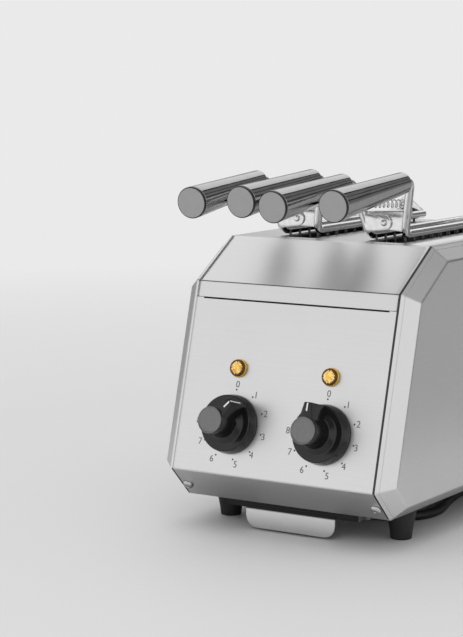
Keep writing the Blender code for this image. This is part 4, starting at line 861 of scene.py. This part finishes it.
def makeFront():
    # Folded front: leaning face with the seam slit along its top edge, lower chamfer and bottom flange;
    # at each end of the slit two columns of points stand one small step apart
    top = frontLow + panelUp * (seamAlong - casing["gap"])
    flangeEnd = frontBottom + np.array([panel["flange"], 0])
    profile = foldedLine([top, frontLow, frontBottom, flangeEnd])
    half, slit, step = casing["width"] / 2 - panel["sideGap"], panel["slitWidth"] / 2, panel["step"]
    right = np.array([panel["column"], slit, slit + step, half])
    shell = sheetShell(profile, [*-right[::-1], 0.0, *right], casing["gauge"],
                       (panel["slitHeight"], slit + step / 2))
    made = newPiece("frontPanel", [shell], foldFrame, "casingSteel", smooth=25.0)
    ridesOn(made, "root", "front_panel")


cover = {"sideSteps": 24, "lipRound": 0.0012, "lipSteps": 5, "lipDrop": 0.0030, "slotWidth": 0.031,
         "slotFront": 0.100, "slotCorner": 0.003, "sideGap": 0.0008, "hold": 0.0008, "merge": 2e-6,
         "outward": (0, -0.2, 1), "sharp": 25}


def slotRing(centre, grow):
    # The slot's rectangle grown outwards, with round corners. Each quarter of the ring is the second half
    # of a corner's arc, the straight side after it, and the first half of the next corner's arc
    steps, quarter = cover["sideSteps"], cover["sideSteps"] // 4
    radius = cover["slotCorner"] + grow
    reach = np.array([cover["slotWidth"] / 2, casing["depth"] / 2 - cover["slotFront"]]) - cover["slotCorner"]
    corners = np.array([centre, casing["depth"] / 2]) + reach * [(1, -1), (1, 1), (-1, 1), (-1, -1)]
    straight = np.linspace(0, 1, steps - 2 * quarter + 1)[1:-1, None]
    ring = []
    for k in range(4):
        leave = k * pi / 2 + np.linspace(-pi / 4, 0, quarter + 1)
        meet = k * pi / 2 + np.linspace(0, pi / 4, quarter + 1)[:-1]
        first = corners[k] + radius * np.stack([np.cos(leave), np.sin(leave)], 1)
        second = corners[(k + 1) % 4] + radius * np.stack([np.cos(meet), np.sin(meet)], 1)
        ring += [first, first[-1] + straight * (second[0] - first[-1]), second]
    return np.concatenate(ring)


def makeCover():
    # Front and rear strips are the profile carried across; each half of the deck runs from its
    # rectangle in to the slot's round-cornered outline and down over a rolled lip
    half, deck = casing["width"] / 2 - cover["sideGap"], casing["deckHeight"]
    seam = frontLow + panelUp * seamAlong
    profile = foldedLine([seam, frontHigh, frontDeck, (casing["depth"] / 2, deck)])[:-1]
    profile = np.insert(profile, 1, seam + panelUp * casing["foldHold"], 0)
    across = np.linspace(-half, half, 2 * cover["sideSteps"] + 1)
    low, high = profile[-1, 0], casing["depth"] - profile[-1, 0]
    grids = [(gridOf(across, back[:, None], profile[:, 1:]), False)
             for back in (profile[:, 0], casing["depth"] - profile[:, 0])]
    share = np.linspace(0, 1, cover["sideSteps"] + 1)[:-1, None]
    lip, bend = cover["lipRound"], np.linspace(0, pi / 2, cover["lipSteps"])
    levels = [(lip + cover["hold"], 0.0), *zip(lip * (1 - np.sin(bend)), lip * (np.cos(bend) - 1)),
              (0.0, -cover["lipDrop"])]
    for sign in (-1, 1):
        left, right = sorted((0, sign * half))
        box = np.array([(right, low), (right, high), (left, high), (left, low)])
        outer = np.concatenate([box[k] + share * (box[(k + 1) % 4] - box[k]) for k in range(4)])
        centre = sign * tong["slotSpacing"] / 2
        rings = [atLevel(outer, deck)]
        rings += [atLevel(slotRing(centre, grow), deck + drop) for grow, drop in levels]
        grids.append((np.array(rings), True))
    faces, start = [], 0
    for grid, closed in grids:
        faces += (latticeFaces(*grid.shape[:2], closed) + start).tolist()
        start += grid.shape[0] * grid.shape[1]
    points = np.concatenate([grid.reshape(-1, 3) for grid, closed in grids])
    mesh = bpy.data.meshes.new("topCover")
    mesh.from_pydata(placed(points, foldFrame).tolist(), [], faces)
    shape = bmesh.new()
    shape.from_mesh(mesh)
    bmesh.ops.remove_doubles(shape, verts=shape.verts, dist=cover["merge"])
    bmesh.ops.recalc_face_normals(shape, faces=shape.faces)
    widest = max(shape.faces, key=lambda face: face.calc_area())
    if widest.normal @ Vector(cover["outward"]) < 0:        # it has to look up or out to the front
        bmesh.ops.reverse_faces(shape, faces=shape.faces)
    shape.to_mesh(mesh)
    shape.free()
    mesh.shade_smooth()
    mesh.set_sharp_from_angle(angle=radians(cover["sharp"]))
    mesh.materials.append(finishes["deckSteel"])
    made = bpy.data.objects.new("topCover", mesh)
    bpy.context.scene.collection.objects.link(made)
    wall = made.modifiers.new("gauge", "SOLIDIFY")
    wall.thickness, wall.offset = casing["gauge"], -1
    ridesOn(made, "root", "top_cover")


def makeShades():
    # Strips fill the gaps between sheets and pans, painted shade on the right; another lies on the upper fold
    half, depth, step = casing["width"] / 2, panel["shadeDepth"], panel["step"]
    line = roundCorners([frontLow, frontHigh, frontDeck], casing["foldRadius"], panel["shadeSteps"])
    inwards = unitRows(-leftOf(np.gradient(line, axis=0)))
    # the left strip is plain steel, the right one a near-black strip of painted shade in its gap
    for side, sign, look in (("Left", -1, "sideSteel"), ("Right", 1, "slotShade")):
        ends = sorted((sign * (half - panel["sideGap"] + step), sign * (half - step)))
        strip = sheetShell(line + inwards * depth, ends, casing["gauge"])
        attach(newPiece("sideGapFill" + side, [strip], foldFrame, look, smooth=0), "root")
    # The dark strip along the upper fold is painted shade: the cover itself runs on unbroken over the fold
    up, back = panelUp, unit(frontDeck - frontHigh)
    turn = unit(up + back)
    out = np.array([-turn[1], turn[0]])
    middle = frontHigh - out * casing["foldRadius"] * (1 / cos(acos(up @ back) / 2) - 1)
    ends = [middle + out * panel["foldLift"] + turn * side * panel["foldLine"] / 2 for side in (-1, 1)]
    strip = sheetShell(ends, [-half + cover["sideGap"], half - cover["sideGap"]], panel["foldLift"] * 2)
    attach(newPiece("foldShade", [strip], foldFrame, "foldShade", smooth=0), "root")


makePans()
makeFront()
makeCover()
makeShades()
print("casing folded")

# Controls, drawn on the leaning face or on the chamfer; in each outline a point is its distance from the
# axis, its height over the sheet and the radius of its corner
dial = {"spacing": 0.078, "height": 0.0374, "lampHeight": 0.0790, "leftTurn": 42.0, "dotCircle": 0.0258,
        "dotRadius": 0.00068, "dotSides": 20, "dotStart": -1.0, "step": 34.2, "leftShift": 0.0008,
        "markThick": 0.00006, "digitHeight": 0.0048,
        "digitCircle": (0.0299, 0.0287, 0.0290, 0.0283, 0.0285, 0.0296, 0.0298, 0.0295, 0.0296),
        "digitTurn": (0.0, 35.8, 69.0, 103.2, 136.2, 166.0, 207.5, 240.2, 271.0)}

# The pointer is a wedge from (half width, out from the axis) at its root to its tip, its top falling from
# rootTop to tipTop; its white line runs along the top from one distance to another and down the end
knob = {
    "body": ((0.0100, 0.0007, 0), (0.0220, 0.0007, 0.0004), (0.0220, 0.0017, 0.0004),
             (0.0208, 0.0095, 0.0011), (0.0150, 0.0087, 0.0030), (0.0110, 0.0112, 0.0030),
             (0.0101, 0.0150, 0.0030), (0.0101, 0.0298, 0.0002), (0.0040, 0.0298, 0)),
    "cap": ((0.0030, 0.0299, 0), (0.0099, 0.0299, 0.0001), (0.0099, 0.0309, 0.0004), (0.0092, 0.0309, 0.0003),
            (0.0086, 0.0306, 0.0004), (0.0008, 0.0306, 0)),
    "sides": 96, "bodySteps": 7, "capSteps": 5,
    "root": (0.0060, 0.0051), "rootCorner": 0.0004, "tip": (0.00295, 0.02055), "tipCorner": 0.0009,
    "cornerSteps": 5, "base": 0.0060, "rootTop": 0.0292, "tipTop": 0.0285,
    "edge": ((0, 0.0007), (0.00022, 0.0002), (0.0007, 0.0)), "lineHalf": 0.0006, "lineTop": (0.0142, 0.0199),
    "lineLift": (-0.0002, 0.00007), "lineEnd": (0.0140, 0.0279), "lineOut": (0.0203, 0.02063),
    "lineSoft": 0.00002,
}


def oblong(half, low, high):        # four corners of a rectangle about the middle line
    return np.array([(-half, low), (half, low), (half, high), (-half, high)])


def makeKnob(side, sign):
    # Turned skirt, collar and barrel with soft edges, joined by a wedge-shaped pointer
    turn = -radians(dial["leftTurn"]) if side == "left" else 0.0
    matrix = panelFrame @ shifted((sign * dial["spacing"] / 2, dial["height"], 0)) @ rotated(turn, "Z")
    (rootHalf, root), (tipHalf, tip) = knob["root"], knob["tip"]
    rootCorner, tipCorner = knob["rootCorner"], knob["tipCorner"]
    outline = softLine([(0.0, root, 0), (rootHalf, root, rootCorner), (tipHalf, tip, tipCorner),
                        (-tipHalf, tip, tipCorner), (-rootHalf, root, rootCorner), (0.0, root, 0)],
                       knob["cornerSteps"])[:-1]
    slope = (knob["tipTop"] - knob["rootTop"]) / (tip - root)
    rings = [atLevel(outline, knob["base"])]
    for inset, drop in knob["edge"]:
        ring = drawnIn(outline, inset)
        rings.append(atLevel(ring, knob["rootTop"] + slope * (ring[:, 1] - root) - drop))
    body = turnedShell(softLine(knob["body"], knob["bodySteps"]), knob["sides"])
    made = newPiece("knob" + side.capitalize(), [body, ringShell(np.array(rings))], matrix, "knobBlack",
                    smooth=35.0)
    standsFor(made, "knob_" + side)
    cap = turnedPiece("knobCap" + side.capitalize(), softLine(knob["cap"], knob["capSteps"]), matrix,
                      "knobCap", knob["sides"])
    strip = oblong(knob["lineHalf"], *knob["lineTop"])
    top = [atLevel(strip, knob["rootTop"] + slope * (strip[:, 1] - root) + lift) for lift in knob["lineLift"]]
    end = plateShell(oblong(knob["lineHalf"], *knob["lineEnd"]), *knob["lineOut"], knob["lineSoft"])
    line = newPiece("knobLine" + side.capitalize(), [ringShell(np.array(top)), end], matrix, "knobLine",
                    smooth=0)
    for piece in (cap, line):
        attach(piece, bodyOf["knob_" + side])


def digitShell(digit, height, thick):
    # The font's own outline of one figure, given a thickness and scaled to the height
    words = bpy.data.curves.new("figure", "FONT")
    words.body = digit
    words.align_x, words.align_y = "CENTER", "CENTER"
    words.extrude = 0.01        # any thickness will do, because the points are scaled below
    figure = bpy.data.objects.new("figure", words)
    bpy.context.scene.collection.objects.link(figure)
    bpy.context.view_layer.update()
    mesh = bpy.data.meshes.new_from_object(figure)
    mesh.calc_loop_triangles()
    points = np.zeros(len(mesh.vertices) * 3)
    corners = np.zeros(len(mesh.loop_triangles) * 3, int)
    mesh.vertices.foreach_get("co", points)
    mesh.loop_triangles.foreach_get("vertices", corners)
    bpy.data.objects.remove(figure)
    points = points.reshape(-1, 3)
    low, high = points.min(0), points.max(0)
    points = points - (low + high) / 2
    points *= [height / (high[1] - low[1])] * 2 + [thick / (high[2] - low[2])]
    return points, [corners.reshape(-1, 3)]


def makeMarks():
    # Figures 0 to 8 stand upright outside a circle of dots round each knob
    reach, thick = dial["dotCircle"], dial["markThick"]
    for side, sign in (("Left", -1), ("Right", 1)):
        figures, dots = [], []
        for index, (circle, degrees) in enumerate(zip(dial["digitCircle"], dial["digitTurn"])):
            turn = radians(degrees)
            points, faces = digitShell(str(index), dial["digitHeight"], thick)
            figures.append((points + [circle * sin(turn), circle * cos(turn), thick / 2], faces))
            turn = radians(dial["dotStart"] + index * dial["step"])
            rims = [(dial["dotRadius"], 0), (dial["dotRadius"], thick)]
            points, faces = turnedShell(rims, dial["dotSides"])
            dots.append((points + [reach * sin(turn), reach * cos(turn), 0], faces))
        across = sign * dial["spacing"] / 2 + (dial["leftShift"] if sign < 0 else 0)
        matrix = panelFrame @ shifted((across, dial["height"], 0))
        for name, marks, ink in (("dialFigures", figures, "markInk"), ("dialDots", dots, "dotInk")):
            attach(newPiece(name + side, marks, matrix, ink, smooth=0), "root")


# The lens is a dome of the crown's height over its face; its pyramids are cut in along both diagonals
lamp = {
    "foot": ((0.0048, -0.0030, 0), (0.0048, 0.0003, 0.0001), (0.0068, 0.0003, 0.0002),
             (0.0068, 0.0013, 0.0005), (0.0062, 0.0017, 0.0002), (0.0040, 0.0017, 0)),
    "wall": ((0.0040, 0.0016, 0), (0.0063, 0.0016, 0.0002), (0.0061, 0.0036, 0.0008),
             (0.0056, 0.0038, 0.0002), (0.0040, 0.0038, 0)),
    "footSteps": 4, "wallSteps": 5, "sides": 72, "lensRadius": 0.0056, "seat": 0.0031, "face": 0.0036,
    "crown": 0.0011, "top": 0.0049, "cut": 0.00035, "cellDiagonal": 0.0022624, "rings": 34,
    "innerShare": 0.03, "lensSides": 96,
}


def makeLamp(side, sign):
    # A bright amber foot, a darker wall drawing in to the top, and on it a low dome whose skin is
    # moulded into small square pyramids: the product of two sine waves along the diagonals
    matrix = panelFrame @ shifted((sign * dial["spacing"] / 2, dial["lampHeight"], 0))
    words = side.capitalize()
    foot = turnedPiece("lampFoot" + words, softLine(lamp["foot"], lamp["footSteps"]), matrix, "lampBase",
                       lamp["sides"])
    standsFor(foot, "lamp_lens_" + side)
    wall = turnedPiece("lampWall" + words, softLine(lamp["wall"], lamp["wallSteps"]), matrix, "lampWall",
                       lamp["sides"])
    share = np.linspace(1, lamp["innerShare"], lamp["rings"])[:, None]
    radius, angle = share * lamp["lensRadius"], around(lamp["lensSides"])
    x, y = radius * np.cos(angle), radius * np.sin(angle)
    wave = pi / lamp["cellDiagonal"]
    cell = np.abs(np.sin(wave * (x + y)) * np.sin(wave * (x - y)))
    height = lamp["face"] + lamp["crown"] * (1 - share ** 2) - lamp["cut"] * (1 - cell)
    height = np.minimum(height, lamp["top"])
    grid = np.concatenate([gridOf(x[:1], y[:1], lamp["seat"]), gridOf(x, y, height)])
    lens = newPiece("lampLens" + words, [ringShell(grid)], matrix, "amberLens", smooth=30.0)
    for piece in (wall, lens):
        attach(piece, "root")


screw = {"sides": 48, "along": 0.0197, "fromEdge": 0.0060, "socket": 0.00145, "socketFloor": 0.0012,
         "socketTop": 0.00245, "bevel": 0.0001, "top": 0.0026, "flat": 0.0018, "dome": 0.0023, "base": 0.0003,
         "domeStart": 0.08, "domeRings": 10, "floorShare": 0.9, "shankRadius": 0.0020, "shankEnd": -0.009}


def makeScrew(side, sign):
    # A domed head, its rim a quarter circle round the flat, with a six-sided socket in it; its shank goes
    # through the chamfer. The hexagon's radius at an angle is its flat's distance over the cosine
    angle, every = around(screw["sides"]), np.ones(screw["sides"])
    hexagon = screw["socket"] * cos(pi / 6) / np.cos(angle % (pi / 3) - pi / 6)
    dome = np.linspace(screw["domeStart"], 1, screw["domeRings"]) * pi / 2
    radii = np.concatenate([[hexagon * screw["floorShare"], hexagon, hexagon + screw["bevel"]],
                            np.outer(screw["flat"] + screw["dome"] * np.sin(dome), every),
                            [screw["shankRadius"] * every, screw["shankRadius"] * every]])
    heights = np.array([screw["socketFloor"], screw["socketTop"], screw["top"],
                        *(screw["base"] + screw["dome"] * np.cos(dome)), screw["base"], screw["shankEnd"]])
    grid = gridOf(radii * np.cos(angle), radii * np.sin(angle), heights[:, None])
    across = -sign * (casing["width"] / 2 - screw["fromEdge"])      # the chamfer's own X points to the left
    matrix = chamferFrame @ shifted((across, screw["along"], 0))
    made = newPiece("chamferScrew" + side.capitalize(), [ringShell(grid)], matrix, "screwSteel",
                    smooth=35.0)
    standsFor(made, "chamfer_screw_" + side)


for side, sign in (("left", -1), ("right", 1)):
    makeKnob(side, sign)
    makeLamp(side, sign)
    makeScrew(side, sign)
makeMarks()
print("controls fitted")

foot = {"outline": ((0.003, 0.0, 0), (0.0078, 0.0, 0.0010), (0.0085, 0.0060, 0.006), (0.0115, 0.0223, 0.0012),
                    (0.004, 0.0223, 0)), "steps": 6}


def makeFoot(name):     # a tapered rubber foot with a soft rim above and below, on its solid's middle
    low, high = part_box(name)
    middle = (low + high) / 2
    words = "".join(word.capitalize() for word in name.split("_"))
    standsFor(turnedPiece(words, softLine(foot["outline"], foot["steps"]), shifted((middle.x, middle.y, 0)),
                          "footRubber"), name)


for name in ("foot_front_left", "foot_front_right", "foot_rear_left", "foot_rear_right"):
    makeFoot(name)
print("feet fitted")

# Tongs, drawn in a pair's own frame: X across, Y back along the rails and Z up from the rivets. The stop
# is the bar across a pair behind its legs
plate = {"gauge": 0.0015, "gap": 0.0004, "front": 0.0010, "ear": 0.0058, "earPoints": 25, "railEnd": 0.0030,
         "endPoints": 9, "root": 0.0140, "soft": 0.00025}
stop = {"rise": 0.0066, "reach": 0.0190, "radius": 0.0026, "bend": 0.0040, "bendSteps": 8, "sides": 20}
spring = {"rise": 0.0141, "radius": 0.0028, "wire": 0.0005, "wireSides": 10, "curls": 9, "curlPoints": 24,
          "legShare": 1.1, "peg": 0.0018, "pegLength": 0.0065, "pegSides": 16}
handle = {"start": 0.0117, "length": 0.1045, "rearRadius": 0.0081, "frontRadius": 0.0115,
          "rearRound": 0.0034, "bore": 0.0034, "core": 0.004, "rim": 0.0009, "frontRound": 0.0003,
          "soft": 0.0002, "flange": 0.0018, "capDepth": 0.0045, "capProud": 0.0004, "capRound": 0.0005,
          "labelInset": 0.0008, "labelCore": 0.001, "sides": 96, "tubeSteps": 7, "plugSteps": 5}
run = casing["depth"] - 2 * tong["hingePlane"]      # from the front rivet to the rear one
droop = radians(tong["droop"])


def legPoint(sign, height):
    # A front leg's middle at a height: straight from the rail's end at the bottom to the handle's at the top
    share = (height + tong["railDrop"]) / (tong["handleRise"] + tong["railDrop"])
    across = tong["railSpacing"] / 2 + (tong["handleSpacing"] - tong["railSpacing"]) / 2 * share
    back = tong["footBack"] - (tong["footBack"] + tong["topForward"]) * share
    return np.array([sign * across, back, height])


def handleHeading(toe):     # forwards and down by the droop, turned to the right by the toe
    return np.array([sin(toe) * cos(droop), -cos(toe) * cos(droop), -sin(droop)])


def earArc(sign, start, end):       # points on a plate's round ear
    turn = np.linspace(start, end, plate["earPoints"])[:, None]
    return plate["ear"] * np.concatenate([sign * np.cos(turn), np.sin(turn)], 1)


def frontOutline(sign):     # from a jaw's leg past the pivot to the ear
    low, high = (legPoint(sign, end * plate["root"] / 2)[[0, 2]] for end in (-1, 1))
    return np.concatenate([[low], earArc(sign, 3 * pi / 2, pi / 2), [high]])


def rearOutline(sign):      # from the ear slanting down to the rail's end, with tangent sides
    rail, drop, small = tong["railSpacing"] / 2, tong["railDrop"], plate["railEnd"]
    fall = atan2(drop, rail)
    spread = acos((plate["ear"] - small) / hypot(drop, rail))
    upper, lower = spread - fall, 2 * pi - spread - fall
    turn = np.linspace(upper, lower - 2 * pi, plate["endPoints"])[:, None]
    end = np.concatenate([sign * (rail + small * np.cos(turn)), small * np.sin(turn) - drop], 1)
    return np.concatenate([earArc(sign, lower, upper), end])


def jawShells(sign, toe):
    # The rod runs from inside the handle down the front leg and back along the rail; on it are the two
    # hinge plates, the spring's peg and, on the left jaw alone, the bar that crosses behind the legs
    top = legPoint(sign, tong["handleRise"])
    rail, railZ = sign * tong["railSpacing"] / 2, -tong["railDrop"]
    corners = [top + handleHeading(toe) * (handle["start"] + tong["tang"]), top,
               (rail, tong["footBack"], railZ), (rail, run + tong["rodRadius"], railZ)]
    rod = roundCorners(corners, tong["rodBend"], tong["bendSteps"])
    shells = [tubeShell(rod, tong["rodRadius"], tong["rodSides"])]
    front = -plate["front"] + (plate["gauge"] + plate["gap"] if sign > 0 else 0)
    for outline, offset in ((frontOutline(sign), 0), (rearOutline(sign), run)):
        shells.append(plateShell(outline, offset + front, offset + front + plate["gauge"], plate["soft"]))
    peg = legPoint(sign, spring["rise"])
    pegEnd = peg - [sign * spring["pegLength"], 0, 0]
    shells.append(tubeShell([peg, pegEnd], spring["peg"], spring["pegSides"]))
    if sign < 0:
        start = legPoint(sign, stop["rise"])
        back = start[1] + tong["rodRadius"] + stop["radius"] + 2 * casing["gap"]
        bar = roundCorners([start, (start[0], back, stop["rise"]), (stop["reach"], back, stop["rise"])],
                           stop["bend"], stop["bendSteps"])
        shells.append(tubeShell(bar, stop["radius"], stop["sides"]))
    return shells


cage = {"depth": 0.1050, "wireRadius": 0.0010, "wireSides": 12, "pitch": 0.0145, "inset": 0.0022,
        "end": 0.009, "footRadius": 0.0015, "footSides": 16, "footOverrun": 0.003, "gap": 0.002,
        "braceDrop": 0.050, "braceOverrun": 0.002}


def cageShells(sign):
    # Wires hang at an even pitch from a jaw's rail to its foot rod, and a brace runs across them
    wireX = sign * (tong["railSpacing"] / 2 - cage["inset"])
    footX = sign * (cage["gap"] / 2 + cage["footRadius"])
    railZ = -tong["railDrop"]
    footZ, braceZ = railZ - cage["depth"], railZ - cage["braceDrop"]
    braceX = wireX + (footX - wireX) * cage["braceDrop"] / cage["depth"]
    first, last = cage["end"], run - cage["end"]
    wire, wireSides = cage["wireRadius"], cage["wireSides"]
    rods = ((footX, footZ, cage["footOverrun"], cage["footRadius"], cage["footSides"]),
            (braceX, braceZ, cage["braceOverrun"], wire, wireSides))
    shells = [tubeShell([(x, first - over, z), (x, last + over, z)], radius, sides)
              for x, z, over, radius, sides in rods]
    for back in np.linspace(first, last, round((last - first) / cage["pitch"]) + 1):
        shells.append(tubeShell([(wireX, back, railZ), (footX, back, footZ)], wire, wireSides, False))
    return shells


def makeHandle(side, part, sign, toe, matrix):
    # A turned tube with a rounded rear end and a rolled front rim, a black plug in it, and a flat disc
    # on the plug; each outline is drawn from the tube's rear end forwards
    name = f"tong_{side}_{part}"
    words = side.capitalize() + part.capitalize()
    start = legPoint(sign, tong["handleRise"]) + handleHeading(toe) * handle["start"]
    grip = matrix @ shifted(start) @ rotated(toe, "Z") @ rotated(pi / 2 + droop, "X")
    length, front, gap, soft = handle["length"], handle["frontRadius"], casing["gap"], handle["soft"]
    core, plugRadius, sides = handle["core"], front - handle["rim"], handle["sides"]
    seat, rest, proud = length - handle["flange"], length - handle["capDepth"], handle["capProud"]
    tube = softLine([(handle["bore"], 0, 0), (handle["rearRadius"], 0, handle["rearRound"]),
                     (front, seat - gap, handle["frontRound"]), (plugRadius + gap, seat - gap, soft),
                     (plugRadius + gap, rest, soft), (core, rest, 0)], handle["tubeSteps"])
    made = turnedPiece("handle" + words, tube, grip, "handleChrome", sides)
    standsFor(made, name + "_handle")
    plugLine = softLine([(core, rest + gap, 0), (plugRadius, rest + gap, soft), (plugRadius, seat, soft),
                         (front, seat, soft), (front, length + proud / 2, handle["capRound"]),
                         (core, length + proud / 2, 0)], handle["plugSteps"])
    made = turnedPiece("handlePlug" + words, plugLine, grip, "capBlack", sides)
    standsFor(made, name + "_cap")
    labelRadius = front - handle["labelInset"]
    disc = [(core, length), (labelRadius, length), (labelRadius, length + proud),
            (handle["labelCore"], length + proud)]
    label = turnedPiece("handleDisc" + words, disc, grip, "handleCap", sides)
    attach(label, bodyOf[name + "_cap"])


def makeSpring(side, matrix):
    # The wire's centre winds round an axis between the legs and over both pegs, and its ends reach the legs
    leg = legPoint(1, spring["rise"])
    reach = leg[0] - tong["rodRadius"] * spring["legShare"] - casing["gap"]
    coiled = reach - 2 * spring["wire"]
    share = np.linspace(0, 1, spring["curls"] * spring["curlPoints"] + 1)
    turn = 2 * pi * spring["curls"] * share
    coil = np.stack([-coiled + 2 * coiled * share, leg[1] + spring["radius"] * np.sin(turn),
                     leg[2] + spring["radius"] * np.cos(turn)], 1)
    ends = [[(sign * reach, leg[1], leg[2] + spring["radius"])] for sign in (-1, 1)]
    path = np.concatenate([ends[0], coil, ends[1]])
    shell = tubeShell(path, spring["wire"], spring["wireSides"])
    made = newPiece("spring" + side.capitalize(), [shell], matrix, "chromeRod", smooth=50.0)
    standsFor(made, f"tong_{side}_spring")


rivet = {"shank": 0.0016, "width": 0.0025, "rise": 0.0011, "front": 0.0013, "rear": 0.0027, "rings": 7,
         "start": 0.1, "sides": 32}


def makeRivet(side, end, offset, matrix):
    # Two low domes, each a quarter of an ellipse turned round, on a shank through both plates
    turn = np.linspace(rivet["start"], 1, rivet["rings"]) * pi / 2
    across, rise = rivet["width"] * np.sin(turn), rivet["rise"] * np.cos(turn)
    front, rear, shank = rivet["front"], rivet["rear"], rivet["shank"]
    profile = [*zip(across, -rear - rise), (rivet["width"], -rear), (shank, -rear), (shank, front),
               (rivet["width"], front), *zip(across[::-1], front + rise[::-1])]
    made = turnedPiece(f"rivet{side.capitalize()}{end.capitalize()}", profile,
                       matrix @ shifted((0, offset, 0)) @ rotated(pi / 2, "X"), "chromeRod",
                       rivet["sides"])
    standsFor(made, f"tong_{side}_{end}_rivet")


for side, sign in (("left", -1), ("right", 1)):
    matrix = tongFrame(sign)
    for part, jawSign in (("moving", -1), ("fixed", 1)):
        toe = radians(tong["toe"]) if side == "left" and part == "moving" else 0.0
        words = side.capitalize() + part.capitalize()
        jaw = newPiece("jaw" + words, jawShells(jawSign, toe), matrix, "chromeRod")
        standsFor(jaw, f"tong_{side}_{part}_jaw")
        wires = newPiece("cage" + words, cageShells(jawSign), matrix, "cageWire")
        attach(wires, bodyOf[f"tong_{side}_{part}_jaw"])
        makeHandle(side, part, jawSign, toe, matrix)
    makeSpring(side, matrix)
    makeRivet(side, "front", 0.0, matrix)
    makeRivet(side, "rear", run, matrix)
print("tongs assembled")

# Solids that stay as they are, by the start of their name, and their finish
keptFinishes = {
    "rear_panel": "casingSteel", "base_plate": "baseSteel", "crumb_tray": "traySteel",
    "tray_runner": "coreSteel", "core_": "coreSteel", "heater_": "heaterSheath", "heat_shield": "coreSteel",
    "tong_rest": "coreSteel", "spindle_": "screwSteel", "timer_": "timerCase", "lamp_body": "lampCase",
}
for name, node in nodes.items():
    for start, finish in keptFinishes.items():
        if name.startswith(start):
            node.data.materials.clear()
            node.data.materials.append(finishes[finish])
print("kept solids finished")
